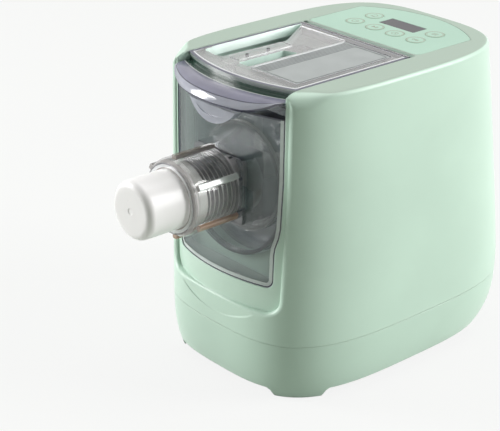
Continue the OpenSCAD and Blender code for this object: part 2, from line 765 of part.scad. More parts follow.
// Toothed outline with straight flanks and a little backlash
function tooth(n, i, turn) = let (p = gear_mod * n / 2, w = 90 / n, a = turn + 360 * i / n)
    [for (q = [[p - 1.15 * gear_mod, -1.45 * w], [p - 0.1 * gear_mod, -0.93 * w], [p + 0.85 * gear_mod, -0.42 * w],
               [p + 0.85 * gear_mod, 0.42 * w], [p - 0.1 * gear_mod, 0.93 * w], [p - 1.15 * gear_mod, 1.45 * w]])
        q[0] * [cos(a + q[1]), sin(a + q[1])]];

module gear(n, turn, y, z, bore, t) {
    translate([0, y + t, z]) rotate([90, 0, 0]) linear_extrude(t) difference() {
        polygon([for (i = [0 : n - 1]) each tooth(n, i, turn)]);
        circle(bore, $fn = 48);
        if (n > 20) for (i = [0 : 4]) rotate(72 * i + 18) translate([gear_mod * n * 0.3, 0])
            circle(gear_mod * n * 0.11, $fn = 32);
    }
}

module case_outline(g) {
    translate([0, axis_z]) circle(gear_mod * teeth_output / 2 + 8 - g, $fn = 96);
    translate([0, middle_z]) circle(gear_mod * teeth_middle / 2 + 6 - g, $fn = 96);
    translate([0, motor_z]) circle(gear_mod * teeth_motor / 2 + 14 - g, $fn = 64);
}

case_screw_x = gear_mod * teeth_output / 2 + 2;
module at_case_screws() {
    for (x = [-case_screw_x, case_screw_x], z = [-24, 24]) translate([x, 0, axis_z + z]) children();
}

module gearbox_case() {
    color(NYLON) difference() {
        union() {
            difference() {
                along_y(case_y0, case_y1) case_outline(0);
                along_y(case_y0 + case_wall, big) case_outline(case_wall);
            }
            at_case_screws() rod_y(4.5, case_y0, case_y1);
        }
        rod_y(shaft_d / 2 + 3, 0, case_y0 + case_wall + 1, 0, axis_z);
        rod_y(middle_r + pin_gap, 0, case_y0 + case_wall + 1, 0, middle_z);
        at_case_screws() rod_y(1.5 + pin_gap, case_y1 - 12, case_y1 + 1);
    }
}

module gearbox_cover() {
    color(NYLON) difference() {
        union() {
            along_y(case_y1, cover_y1) case_outline(0);
            at_case_screws() rod_y(4.5, case_y1, cover_y1);
        }
        rod_y(shaft_d / 2 + pin_gap, 0, cover_y1 - 1, 0, axis_z);
        rod_y(middle_r + pin_gap, 0, cover_y1 - 1, 0, middle_z);
        rod_y(rotor_r + 2, 0, big, 0, motor_z);
        at_case_screws() rod_y(1.5 + pin_gap, 0, big);
    }
}

module gearbox_screws() {
    color(STEEL) at_case_screws() {
        rod_y(1.5, case_y1 - 10, cover_y1 + 1);
        rod_y(3, cover_y1, cover_y1 + 2);
    }
}

module output_bushing() {
    color("peru") difference() {
        rod_y(shaft_d / 2 + 3, case_y0, case_y0 + case_wall, 0, axis_z);
        rod_y(shaft_d / 2 + pin_gap, 0, 100, 0, axis_z);
    }
}

module drive_shaft() {
    tip = hub_rear - drive_depth + 1;
    color(STEEL) {
        translate([0, hub_rear + slide_gap + 0.2, axis_z]) rotate([90, 0, 0])
            cylinder(h = hub_rear + slide_gap + 0.2 - tip, r = hex_r, $fn = 6);
        rod_y(shaft_d / 2, hub_rear + slide_gap, cover_y1 - 1.2, 0, axis_z);
    }
}

module output_gear() {
    color(NYLON) gear(teeth_output, -90 + 180 / teeth_output, plane_out, axis_z, shaft_d / 2, gear_t);
}

module middle_shaft() {
    color(STEEL) rod_y(middle_r, case_y0 + 0.2, cover_y1 - 1.2, 0, middle_z);
}

module middle_pinion() {
    color(STEEL) gear(teeth_pinion, 90 - 2 * 360 / teeth_pinion, plane_out - 0.5, middle_z, middle_r, gear_t + 1);
}

module middle_gear() {
    color(NYLON) gear(teeth_middle, -90 + 180 / teeth_middle, plane_mid, middle_z, middle_r, gear_t);
}

// ---- motor ---------------------------------------------------------------
can_y0 = cover_y1;
can_y1 = can_y0 + motor_l;
can_r = motor_d / 2;
cap_y1 = can_y1 + 4;
fan_y = cap_y1 + 3;
core_r = can_r - 11;
module motor_can() {
    color(STEEL) difference() {
        rod_y(can_r, can_y0, can_y1, 0, motor_z);
        rod_y(can_r - 2, can_y0 + 3, big, 0, motor_z);
        rod_y(rotor_r + pin_gap, 0, big, 0, motor_z);
    }
}

module motor_stator() {
    color(DARK) difference() {
        rod_y(can_r - 2, can_y0 + 12, can_y1 - 10, 0, motor_z);
        rod_y(core_r + 0.8, 0, big, 0, motor_z);
    }
}

module motor_end_cap() {
    color(STEEL) difference() {
        union() {
            rod_y(can_r, can_y1, cap_y1, 0, motor_z);
            rod_y(can_r - 2 - pin_gap, can_y1 - 3, cap_y1, 0, motor_z);
        }
        rod_y(rotor_r + pin_gap, 0, big, 0, motor_z);
        rod_y(can_r - 8, 0, can_y1, 0, motor_z);
    }
}

module motor_bracket() {
    color(DARK) along_y(can_y0 + motor_l / 2 - 3, can_y0 + motor_l / 2 + 3) difference() {
        translate([-30, floor_z]) square([60, motor_z - floor_z - 8]);
        translate([0, motor_z]) circle(can_r + pin_gap, $fn = 96);
    }
}

module rotor_shaft() {
    color(STEEL) rod_y(rotor_r, plane_mid - 1, fan_y + 8, 0, motor_z);
}

core_gap = 13;          // from the core to each end of the can
module rotor_core() {
    slots = 12;
    color("sienna") translate([0, can_y1 - core_gap + 1, motor_z]) rotate([90, 0, 0])
        linear_extrude(motor_l - 2 * core_gap) difference() {
            circle(core_r, $fn = 72);
            circle(rotor_r, $fn = 48);
            for (i = [0 : slots - 1]) rotate(360 * i / slots) translate([core_r - 6, -1.2]) square([7, 2.4]);
        }
}

module motor_pinion() {
    color(STEEL) gear(teeth_motor, 0, plane_mid - 0.5, motor_z, rotor_r, gear_t + 1);
}

module cooling_fan() {
    blades = 9;
    fan_r = can_r - 6;
    color(DARK) difference() {
        union() {
            rod_y(9, fan_y, fan_y + 8, 0, motor_z);
            rod_y(fan_r, fan_y, fan_y + 1.5, 0, motor_z);
            for (i = [0 : blades - 1]) translate([0, fan_y + 8, motor_z]) rotate([90, 0, 0])
                rotate([0, 0, 360 * i / blades]) translate([7, -0.8, 0]) cube([fan_r - 7.5, 1.6, 7]);
        }
        rod_y(rotor_r, 0, big, 0, motor_z);
    }
}

// ---- power board and inlet -----------------------------------------------
module power_board() {
    color(BOARD_GREEN) box(-pcb_x, pcb_x, pcb_y0, pcb_y1, pcb_z, pcb_z + 1.6);
}

module board_capacitor() {
    color(DARK) translate([-22, -30, pcb_z + 1.6]) cylinder(h = 26, r = 9, $fn = 48);
}

module board_relay() {
    color([0.15, 0.25, 0.5]) box(6, 25, -68, -52, pcb_z + 1.6, pcb_z + 17);
}

module board_heatsink() {
    color(STEEL) {
        box(4, 34, -40, -38, pcb_z + 1.6, pcb_z + 26);
        for (i = [0 : 6]) box(4 + 4.6 * i, 6.4 + 4.6 * i, -38, -24, pcb_z + 1.6, pcb_z + 26);
    }
}

module mains_inlet() {
    color(DARK) difference() {
        union() {
            box(-17.5, 17.5, inlet_seat, inlet_seat + 2.4, inlet_z - 13.5, inlet_z + 13.5);
            box(-13.8, 13.8, inlet_seat - 18, inlet_seat + 1, inlet_z - 9.8, inlet_z + 9.8);
        }
        box(-12, 12, inlet_seat - 14, big, inlet_z - 8.2, inlet_z + 8.2);
    }
    color(STEEL) for (x = [-7, 0, 7])
        box(x - 1, x + 1, inlet_seat - 15, inlet_seat - 2, inlet_z - 2 + (x == 0 ? 4 : 0), inlet_z + 2 + (x == 0 ? 4 : 0));
}

housing_shell();
base_shell();
foot_pad_front_left();
foot_pad_front_right();
foot_pad_rear_left();
foot_pad_rear_right();
base_screws();
bay_liner();
front_cradle();
rear_cradle();
liner_shaft_seal();
control_panel();
display_window();
control_board();
display_module();
key_switches();
board_screws();
reed_switch();
key_power();
key_program();
key_start();
key_time();
key_extrude();
key_menu();
lid_cover();
lid_label_plate();
lid_magnet();
hinge_pin_left();
hinge_pin_right();
mixing_cup();
cup_shaft_seal();
mixing_paddle();
extruding_auger();
front_panel();
panel_seal();
nozzle_nut();
pasta_die();
gearbox_case();
gearbox_cover();
gearbox_screws();
output_bushing();
drive_shaft();
output_gear();
middle_shaft();
middle_pinion();
middle_gear();
motor_can();
motor_stator();
motor_end_cap();
motor_bracket();
rotor_shaft();
rotor_core();
motor_pinion();
cooling_fan();
power_board();
board_capacitor();
board_relay();
board_heatsink();
mains_inlet();
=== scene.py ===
# %% [markdown]
# # An electric pasta maker
# The construction model comes from CAD as a fixed frame: every node has its true size and place.
# This lesson dresses it. Pieces that show are modelled again with rounded edges and fine detail,
# inside the same outline, and every other node gets a finish of its own.
# %% Load the frame
import json
from math import asin, atan, atan2, cos, degrees, hypot, radians, sin, sqrt, tau

import bpy
from mathutils import Matrix, Vector


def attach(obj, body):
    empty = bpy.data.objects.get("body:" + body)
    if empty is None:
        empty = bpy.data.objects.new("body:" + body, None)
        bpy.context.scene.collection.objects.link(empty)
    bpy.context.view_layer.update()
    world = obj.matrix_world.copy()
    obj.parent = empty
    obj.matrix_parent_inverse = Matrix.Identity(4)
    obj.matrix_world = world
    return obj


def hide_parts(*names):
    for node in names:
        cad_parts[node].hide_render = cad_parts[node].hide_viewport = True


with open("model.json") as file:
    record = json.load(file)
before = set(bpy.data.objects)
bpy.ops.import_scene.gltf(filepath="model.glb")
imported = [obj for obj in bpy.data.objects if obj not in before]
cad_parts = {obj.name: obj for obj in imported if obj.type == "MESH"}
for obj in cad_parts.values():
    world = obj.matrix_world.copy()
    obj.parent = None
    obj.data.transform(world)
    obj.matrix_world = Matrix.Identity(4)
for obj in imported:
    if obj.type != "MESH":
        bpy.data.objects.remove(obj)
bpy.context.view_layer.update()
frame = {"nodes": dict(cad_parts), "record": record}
nodes = frame["nodes"]

# %% [markdown]
# ## Camera
# The camera looks down from a little above with a long lens, so that upright edges stay nearly
# parallel. It is set by its own three axes: right, up and back.
# %% Camera
AZIMUTH, ELEVATION, ROLL = radians(48.147), radians(23.972), radians(0.65)
EYE = Vector((0.9822, -0.9849, 0.7409))
LENS, SENSOR, FAR_CLIP = 111.6, 36, 30
scene = bpy.context.scene
back = Vector((sin(AZIMUTH) * cos(ELEVATION), -cos(AZIMUTH) * cos(ELEVATION), sin(ELEVATION)))
level = Vector((cos(AZIMUTH), sin(AZIMUTH), 0))
rise = back.cross(level)
right = level * cos(ROLL) + rise * sin(ROLL)
up = rise * cos(ROLL) - level * sin(ROLL)
optics = bpy.data.cameras.new("camera")
optics.lens, optics.sensor_width, optics.clip_end = LENS, SENSOR, FAR_CLIP
camera = bpy.data.objects.new("camera", optics)
scene.collection.objects.link(camera)
camera.matrix_world = Matrix((right, up, back)).transposed().to_4x4()
camera.location = EYE
scene.camera = camera
scene.view_settings.view_transform = "Standard"
scene.cycles.transparent_max_bounces = 48
print("camera at", [round(v, 3) for v in EYE])

# %% [markdown]
# ## Tools for modelling
# Everything below is written in millimetres, as on a drawing, and made in metres. A prism is an
# outline that is extruded; a loft is a skin through rings; a turned piece is a profile that the
# Screw modifier takes once round an axis. Holes are cut with Boolean modifiers.
# %% Selecting and applying
MM, WELD = 0.001, 1e-6


def only(obj=None):
    """Selects this object alone and makes it the active one, or selects none."""
    bpy.ops.object.select_all(action="DESELECT")
    if obj:
        obj.select_set(True)
        bpy.context.view_layer.objects.active = obj
    return obj


def in_edit(obj, *steps):
    only(obj)
    bpy.ops.object.mode_set(mode="EDIT")
    bpy.ops.mesh.select_all(action="SELECT")
    for step in steps:
        step()
    bpy.ops.object.mode_set(mode="OBJECT")
    return obj


def outwards():
    bpy.ops.mesh.select_all(action="SELECT")
    bpy.ops.mesh.normals_make_consistent(inside=False)


def use(obj, kind, **settings):
    only(obj)
    modifier = obj.modifiers.new(kind.title(), kind)
    for name, value in settings.items():
        setattr(modifier, name, value)
    bpy.ops.object.modifier_apply(modifier=modifier.name)
    return obj


def cut(obj, *tools, operation="DIFFERENCE"):
    for tool in tools:
        use(obj, "BOOLEAN", operation=operation, solver="EXACT", object=tool)
        bpy.data.objects.remove(tool)
    return obj


def fuse(obj, *others):
    return cut(obj, *others, operation="UNION")


def keep(obj, inside):
    return cut(obj, inside, operation="INTERSECT")


def soften(obj, width, segments=3, angle=35):
    return use(obj, "BEVEL", width=width * MM, segments=segments, limit_method="ANGLE",
               angle_limit=radians(angle), harden_normals=False)


def smooth(obj, angle=32):
    """Smooth shading up to this angle; big faces weigh more, so flats next to roundings stay flat."""
    only(obj)
    bpy.ops.object.shade_smooth_by_angle(angle=radians(angle))
    return use(obj, "WEIGHTED_NORMAL", keep_sharp=True, weight=80)


def settle(obj, name, body, slot, *replaced):
    obj.name = name
    obj.data.name = name
    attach(obj, body)
    if replaced:
        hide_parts(*replaced)
    print(name, "faces", len(obj.data.polygons))
    return obj


# %% Prisms, lofts and turned pieces
AXES = {"x": lambda u, v, w: (w, u, v), "y": lambda u, v, w: (u, w, v), "z": lambda u, v, w: (u, v, w)}


def drawn(points, fill):
    """A new mesh with its corners at these points."""
    only()
    bpy.ops.mesh.primitive_circle_add(vertices=len(points), fill_type=fill)
    obj = bpy.context.object
    for vertex, point in zip(obj.data.vertices, points):
        vertex.co = Vector(point) * MM
    return obj


def prism(outline, low, high, axis="z"):
    at = AXES[axis]
    obj = drawn([at(u, v, low) for u, v in outline], "NGON")
    move = {"value": Vector(at(0, 0, high - low)) * MM}
    return in_edit(obj, lambda: bpy.ops.mesh.extrude_region_move(TRANSFORM_OT_translate=move), outwards)


def loft(rings):
    """A grid that is bent into the rings, welded along its seam and closed at both ends."""
    n, m = len(rings[0]), len(rings)
    only()
    bpy.ops.mesh.primitive_grid_add(x_subdivisions=n, y_subdivisions=m - 1, size=1)
    obj = bpy.context.object
    for vertex in obj.data.vertices:
        i, j = round((vertex.co.x + 0.5) * n), round((vertex.co.y + 0.5) * (m - 1))
        vertex.co = Vector(rings[j][i % n]) * MM

    def close():
        bpy.ops.mesh.remove_doubles(threshold=WELD / 10)
        bpy.ops.mesh.select_all(action="DESELECT")
        bpy.ops.mesh.select_non_manifold()
        bpy.ops.mesh.fill_holes(sides=0)

    return in_edit(obj, close, outwards)


def turned(profile, centre, axis="y", steps=96):
    """profile holds (radius, place along the axis), once round a closed outline."""
    obj = drawn([(r, along, 0) if axis == "y" else (r, 0, along) for r, along in profile], "NOTHING")
    use(obj, "SCREW", axis=axis.upper(), angle=tau, steps=steps, render_steps=steps,
        use_merge_vertices=True, merge_threshold=WELD)
    shift = Vector(centre) * MM
    return in_edit(obj, lambda: bpy.ops.mesh.remove_doubles(threshold=WELD),
                   lambda: bpy.ops.mesh.delete_loose(use_faces=False), outwards,
                   lambda: bpy.ops.transform.translate(value=shift))


def rod(radius, low, high, axis="y", at=(0, 0), steps=96):
    centre = (at[0], 0, at[1]) if axis == "y" else (at[0], at[1], 0)
    return turned([(0, low), (radius, low), (radius, high), (0, high)], centre, axis, steps)


def block(x0, x1, y0, y1, z0, z1):
    return prism([(x0, y0), (x1, y0), (x1, y1), (x0, y1)], z0, z1)


def arc(cx, cy, r, start, end, steps):
    return [(cx + r * cos(radians(start + (end - start) * k / steps)),
             cy + r * sin(radians(start + (end - start) * k / steps))) for k in range(steps + 1)]


def round_rect(x0, x1, y0, y1, r, steps=8):
    return (arc(x1 - r, y1 - r, r, 0, 90, steps) + arc(x0 + r, y1 - r, r, 90, 180, steps)
            + arc(x0 + r, y0 + r, r, 180, 270, steps) + arc(x1 - r, y0 + r, r, 270, 360, steps))

# %% [markdown]
# ## Tools for finishes
# A material is a small calculation on the surface. Written out as sums it is easier to read than
# as a web of links, so one small class lets sockets be added, multiplied and mixed.
# %% Signals and finishes
class Signal:
    """A socket that can stand in a sum."""

    def __init__(self, nodes, socket):
        self.nodes, self.socket = nodes, socket

    def maths(self, operation, other):
        return self.nodes.signal(0, "Math", {"operation": operation}, [self, other])

    def __add__(self, other):
        return self.maths("ADD", other)

    def __sub__(self, other):
        return self.maths("SUBTRACT", other)

    def __mul__(self, other):
        return self.maths("MULTIPLY", other)

    def __pow__(self, other):
        return self.maths("POWER", other)

    def between(self, low, high, start=0, end=1):
        """Goes smoothly from start to end while the signal goes from low to high."""
        return self.nodes.signal(0, "MapRange", {"interpolation_type": "SMOOTHSTEP"},
                                 [self, low, high, start, end])


class Nodes:
    """The node tree of a material or a world, empty at first."""

    def __init__(self, owner):
        owner.use_nodes = True
        self.tree = owner.node_tree
        self.tree.nodes.clear()

    def node(self, kind, settings=None, sockets=()):
        node = self.tree.nodes.new("ShaderNode" + kind)
        for name, value in (settings or {}).items():
            setattr(node, name, value)
        for key, value in sockets.items() if isinstance(sockets, dict) else enumerate(sockets):
            self.plug(node.inputs[key], value)
        return node

    def signal(self, output, *node):
        return Signal(self, self.node(*node).outputs[output])

    def plug(self, socket, value):
        if isinstance(value, Signal):
            value = value.socket
        elif isinstance(value, bpy.types.Node):
            value = value.outputs[0]
        if isinstance(value, bpy.types.NodeSocket):
            self.tree.links.new(value, socket)
        elif hasattr(socket.default_value, "__len__") and len(value) < len(socket.default_value):
            socket.default_value = (*value, 1)
        else:
            socket.default_value = value


class Finish(Nodes):
    """A material with one Principled shader."""

    def __init__(self, name):
        self.material = bpy.data.materials.new(name)
        super().__init__(self.material)
        self.shader = self.node("BsdfPrincipled")
        self.out = self.node("OutputMaterial", None, [self.shader])
        self.place = self.signal("Object", "TexCoord")

    def noise(self, scale, detail=2, stretch=None):
        place = self.place
        if stretch:
            place = self.signal(0, "Mapping", None, {"Vector": place, "Scale": stretch})
        return self.signal("Fac", "TexNoise", None, {"Vector": place, "Scale": scale, "Detail": detail})

    def blend(self, share, a, b):
        return self.signal(2, "Mix", {"data_type": "RGBA"}, {0: share, 6: a, 7: b})

    def height(self):
        return self.signal(2, "SeparateXYZ", None, [self.place])

    def facing(self):
        return self.signal("Facing", "LayerWeight", None, {"Blend": 0.5})

    def bump(self, height, strength, distance, normal=None):
        sockets = {"Height": height, "Strength": strength, "Distance": distance}
        if normal:
            sockets["Normal"] = normal
        return self.signal(0, "Bump", None, sockets)

    def rounded(self, radius):
        return self.signal(0, "Bevel", {"samples": 6}, {"Radius": radius * MM})

    def set(self, **sockets):
        for name, value in sockets.items():
            self.plug(self.shader.inputs[name.replace("_", " ")], value)

    def gloss_over(self, share, roughness):
        """Lays a mirror-like sheet over the shader, as a clear surface reflects however clear it is."""
        sheet = self.node("BsdfGlossy", None, {"Color": (1, 1, 1), "Roughness": roughness})
        mixed = self.node("MixShader", None, [share, self.shader, sheet])
        self.plug(self.out.inputs["Surface"], mixed)


def linear(colour, share=1):
    """A colour as it is seen, 0 to 255, in the linear numbers that a shader takes."""
    def line(c):
        c /= 255
        return c / 12.92 if c <= 0.04045 else ((c + 0.055) / 1.055) ** 2.4
    return tuple(line(c) * share for c in colour)


# %% [markdown]
# ### Mint plastic
# The housing is moulded ABS with a soft sheen. A fine grain breaks up the reflection, and a slow
# change of tone keeps a big surface from looking like paint on a screen. The flat top is more matt
# than the sides, and its colour is painted greyer and darker: painted shade for a top that catches
# less light and reflects grey surroundings. A rounding of the shading at sharp edges stands for the
# small radius that every mould has.
# %% Mint finishes
SHADED_TOP_LOW, SHADED_TOP_HIGH = 0.2990, 0.2998


def mint(name, colour, shaded_top_colour=None, roughness=0.32, edge=1.2):
    finish = Finish(name)
    tone = finish.noise(9, 3)
    grain = finish.noise(2600, 2)
    skin = finish.blend(tone.between(0.35, 0.65), linear(colour, 0.955), linear(colour))
    rough = tone * 0.06 + (roughness - 0.03)
    if shaded_top_colour:
        # The top's greyer colour is painted shade.
        top = finish.height().between(SHADED_TOP_LOW, SHADED_TOP_HIGH)
        skin = finish.blend(top, skin, linear(shaded_top_colour))
        rough = rough + top * 0.2
    finish.set(Base_Color=skin, Roughness=rough, IOR=1.48,
               Normal=finish.bump(grain, 0.08, 0.00008, finish.rounded(edge)))
    return finish.material


# The second colour is painted shade on the flat top.
mint_body = mint("mint_body", (204, 229, 214), (170, 186, 174), edge=2.2)
mint_base = mint("mint_base", (201, 226, 211), edge=1.5)
mint_liner = mint("mint_liner", (204, 228, 216), roughness=0.4, edge=0.8)
mint_panel = mint("mint_panel", (172, 207, 189), roughness=0.32, edge=0.6)
print("mint finishes made")

# %% [markdown]
# ### See-through plastic
# Thin clear plastic hides little where it is seen face on and much at its edges, where light has a
# long way through. So its opacity rises with the angle, and its sawn or moulded edges get a darker
# finish of their own.
# %% See-through finishes
def see_through(name, colour, face, rim, roughness=0.06, power=2, grain=0, gloss=1):
    """face and rim are the opacity seen face on and seen along the surface."""
    finish = Finish(name)
    lean = finish.facing() ** power
    haze = finish.noise(40, 2)
    opacity = lean * (rim - face) + face + (haze - 0.5) * (0.12 * face)
    sockets = dict(Base_Color=finish.blend(haze.between(0.3, 0.7), linear(colour, 0.9), linear(colour)),
                   Roughness=haze * 0.04 + roughness, Alpha=opacity, IOR=1.5, Specular_IOR_Level=0.7)
    if grain:
        sockets["Normal"] = finish.bump(finish.noise(900, 2), grain, 0.0002)
    finish.set(**sockets)
    if gloss:
        finish.gloss_over((lean ** 1.5) * 0.5 * gloss + 0.05 * gloss, roughness)
    return finish.material


smoke_face = see_through("smoke_face", (104, 124, 122), 0.19, 0.7, 0.04, gloss=0.4)
smoke_edge = see_through("smoke_edge", (54, 54, 80), 0.88, 0.97, 0.1, gloss=0.2)
border = see_through("border", (66, 66, 90), 0.9, 0.97, 0.3, gloss=0.1)
# Painted light: a pale copy of the smoke for the panel's border strip and its upward faces.
strip_painted_light = see_through("strip_painted_light", (224, 234, 230), 0.68, 0.92, 0.1, gloss=0.5)
# Near-black: the U-shaped seat behind the panel; on the panel's left side walls it is painted shade.
smoke_deep = see_through("smoke_deep", (24, 26, 50), 0.96, 0.99, 0.1, gloss=0.1)
hood_face = see_through("hood_face", (126, 130, 136), 0.22, 0.85, 0.04, power=1.6, gloss=0.7)
clear_face = see_through("clear_face", (192, 190, 190), 0.06, 0.7, 0.03, power=2.2, gloss=0.8)
clear_edge = see_through("clear_edge", (170, 164, 162), 0.55, 0.9, 0.04, gloss=0.6)
clear_dark = see_through("clear_dark", (92, 92, 104), 0.5, 0.9, 0.04)
amber_edge = see_through("amber_edge", (178, 140, 112), 0.75, 0.95, 0.08)
brown_edge = see_through("brown_edge", (146, 132, 122), 0.7, 0.95, 0.06)
# Painted highlight: white on the thread's crests; the flanks take the darker grey.
thread_crest_highlight = see_through("thread_crest_highlight", (232, 231, 229), 0.82, 0.97, 0.1, gloss=0.6)
thread_dark = see_through("thread_dark", (112, 110, 120), 0.55, 0.9, 0.08, gloss=0.5)
collar_white = see_through("collar_white", (246, 246, 244), 0.92, 0.98, 0.15, gloss=0.7)
frost_face = see_through("frost_face", (160, 166, 166), 0.82, 0.95, roughness=0.3, grain=0.3, gloss=0.4)
lip_face = see_through("lip_face", (206, 207, 224), 0.46, 0.92, 0.07, gloss=0.5)
# Painted shade and light: dark green for the dark inside seen through the lid, and lighter grey for the upper
# part of its front wall.
band_painted_shade = see_through("band_painted_shade", (52, 80, 68), 0.84, 0.95, 0.16, gloss=0.4)
band_painted_light = see_through("band_painted_light", (150, 160, 156), 0.6, 0.9, 0.16, gloss=0.4)
band_purple = see_through("band_purple", (142, 140, 164), 0.72, 0.95, 0.12, gloss=0.4)
# Painted highlight: thin white lines where edges, slot rims and rib tops catch the light.
painted_highlight = see_through("painted_highlight", (232, 234, 236), 0.9, 0.98, 0.1)
line_dark = see_through("line_dark", (126, 130, 132), 0.85, 0.97, 0.3, gloss=0.1)
# Painted light: pale mint on the walls seen through the slots, so that the slots look bright.
slot_painted_light = see_through("slot_painted_light", (214, 234, 226), 0.96, 0.99, 0.3, gloss=0.3)
cup_face = see_through("cup_face", (150, 164, 176), 0.24, 0.8, roughness=0.08)
cup_edge = see_through("cup_edge", (66, 64, 92), 0.92, 0.98)
print("see-through finishes made")

# %% [markdown]
# ### Small parts
# White acetal, rubber, nylon, steel, copper and board each get a colour with a little life in it
# and a roughness that fits.
# %% Other finishes
def plain(name, colour, roughness=0.4, metal=0, grain=600, strength=0.05, edge=0.5, stretch=None,
          depth=0.93, soft=0):
    finish = Finish(name)
    finish.set(Subsurface_Weight=soft, Subsurface_Radius=(1, 1, 1), Subsurface_Scale=0.01)
    cloud = finish.noise(grain, 3, stretch=stretch)
    finish.set(Base_Color=finish.blend(cloud.between(0.3, 0.7), linear(colour, depth), linear(colour)),
               Roughness=cloud * 0.12 + (roughness - 0.06), Metallic=metal,
               Normal=finish.bump(cloud, strength, 0.0001, finish.rounded(edge)))
    return finish.material


white_plastic = plain("white_plastic", (253, 249, 251), 0.3, grain=80, depth=0.99, edge=0.8, soft=0.2)
dark_plastic = plain("dark_plastic", (46, 47, 50), 0.5)
dark_glass = plain("dark_glass", (50, 48, 52), 0.3, grain=20)
ring_ink = plain("ring_ink", (152, 148, 130), 0.5, grain=300)
foot_rubber = plain("foot_rubber", (58, 60, 60), 0.8)
seal_rubber = plain("seal_rubber", (206, 206, 202), 0.6)
steel = plain("brushed_steel", (190, 191, 194), 0.28, 1, 900, 0.1, stretch=(1, 0.05, 1))
nylon = plain("gear_nylon", (226, 222, 208), 0.4)
bronze = plain("bronze", (176, 132, 84), 0.35, 1)
iron = plain("iron_core", (92, 74, 62), 0.55, 0.6, 1400, 0.3, stretch=(0.05, 1, 0.05))
board = plain("board_green", (28, 88, 54), 0.35, grain=1500)
relay_blue = plain("relay_blue", (40, 72, 138), 0.4)
alloy = plain("heatsink_alloy", (196, 198, 202), 0.35, 1)
print("finishes:", len(bpy.data.materials))

# %% Give every node a finish
FINISHES = {
    "mint": mint_liner, "mint_gloss": mint_panel, "smoke_clear": cup_face, "clear": clear_face,
    "white_plastic": white_plastic, "frosted_plate": frost_face, "dark_window": dark_glass,
    "dark_plastic": dark_plastic, "seal_rubber": seal_rubber, "foot_rubber": foot_rubber,
    "steel": steel, "gear_nylon": nylon, "bronze": bronze, "iron_core": iron,
    "board_green": board, "part_blue": relay_blue, "heatsink": alloy,
}


def dress(obj, *materials):
    obj.data.materials.clear()
    for material in materials:
        obj.data.materials.append(material)
    return obj


for part in frame["record"]["subparts"]:
    dress(nodes[part["node"]], FINISHES[part["material_slot"]])


def paint(obj, rule):
    """Gives each face the finish that the rule names for the face and its centre."""
    chosen = [rule(face, *(c / MM for c in face.center)) for face in obj.data.polygons]
    materials = list(dict.fromkeys(chosen))
    dress(obj, *materials)
    for face, material in zip(obj.data.polygons, chosen):
        face.material_index = materials.index(material)


# %% [markdown]
# ## The body's form
# The body is one squared oval that is widest a hand's breadth above the table and narrows to the
# flat top. The same rule gives the outline at any height, so that the base and the housing meet.
# The points crowd at the corners, where it turns most.
# %% Outline of the body
TOP, BODY_W, TOP_W, FOOT_W = 300, 229, 210, 210
FRONT_D, REAR_D, TOP_REAR_D, FOOT_D = 148.5, 172, 143, 140
SEAM_Z, AXIS_Z, ARCH_H, MID_Z = 58, 198, 9.6, 75
FOOT_CURVE, TOP_CURVE, SQUARE_FRONT, SQUARE_REAR, CROWDING = 3.7, 1.12, 3.4, 3.6, 6.9


def drawn_in(z):
    return (max(z - MID_Z, 0) / (TOP - MID_Z)) ** TOP_CURVE


def level_at(low, mid, top, z):
    grown = 1 - (1 - min(z, MID_Z) / MID_Z) ** FOOT_CURVE
    return low + (mid - low) * grown + (top - mid) * drawn_in(z)


def oval(z, inset, count=264, outline_z=None):
    """Points round the body at height z, inset from the outline that it has at outline_z."""
    h = z if outline_z is None else outline_z
    half = level_at(FOOT_W, BODY_W, TOP_W, h) / 2 - inset
    front = -level_at(FOOT_D, FRONT_D, FRONT_D - 1.5, h) + inset
    rear = level_at(FOOT_D, REAR_D, TOP_REAR_D, h) - inset
    points = []
    for i in range(count):
        t = 360 * i / count
        w = radians(t - CROWDING * sin(radians(4 * t)))
        c, s = cos(w), sin(w)
        e = SQUARE_FRONT + 0.5 * drawn_in(h) if s < 0 else SQUARE_REAR
        r = (abs(c) ** e + abs(s) ** e) ** (-1 / e) * (1 - 0.004 * sin(2 * w) ** 2)
        points.append((half * r * c, (front + rear) / 2 + (rear - front) / 2 * r * s, z))
    return points


print("half width at the seam:", round(level_at(FOOT_W, BODY_W, TOP_W, SEAM_Z) / 2, 2))

# %% [markdown]
# ## Housing
# The housing is an outer skin with the inner skin taken out of it. The rounding of its top edge
# grows from a small radius at the rear to a big soft corner at the front, so it is a loft of rings
# that are each a quarter circle's step further up and in.
# %% Housing
HEIGHTS = [58, 60, 64, 70, 78, 88, 100, 114, 128, 142, 156, 170, 184, 198, 212, 226, 240, 254, 266, 276, 284]
EDGE_R, FRONT_R, TOP_T, WALL = 4, 14, 4, 3
BLEND_Y, BLEND_L, TOP_INSET, COARSE = -96, 28, 10, 88
ARC_R, ARC_Y = 180, 34
WINDOW_X, WINDOW_Z, BAY_X, BAY_REAR = 77, 88, 73, 31


def top_ring(t):
    """Ring of the top edge's rounding at the angle t."""
    ring = []
    edges = (oval(TOP - EDGE_R, 0), oval(TOP - FRONT_R, 0), oval(TOP, 0), oval(TOP, TOP_INSET))
    for high, low, out, inner in zip(*edges):
        ahead = min(max((BLEND_Y - high[1]) / BLEND_L, 0), 1)
        ahead = ahead * ahead * (3 - 2 * ahead)
        r = EDGE_R + (FRONT_R - EDGE_R) * ahead
        share = r * (1 - cos(t)) / TOP_INSET
        x, y = (high[i] + (low[i] - high[i]) * ahead + (inner[i] - out[i]) * share for i in (0, 1))
        ring.append((x, y, TOP - r + r * sin(t)))
    return ring


def body_form():
    return loft([oval(z, 0) for z in HEIGHTS] + [top_ring(radians(t)) for t in range(0, 91, 9)])


housing = body_form()
cavity = loft([oval(z, WALL, COARSE) for z in (50, 90, 140, 180, 240, TOP - 17)]
              + [oval(TOP - TOP_T, FRONT_R, COARSE)])
cut(housing, cavity)
print("skin faces:", len(housing.data.polygons))

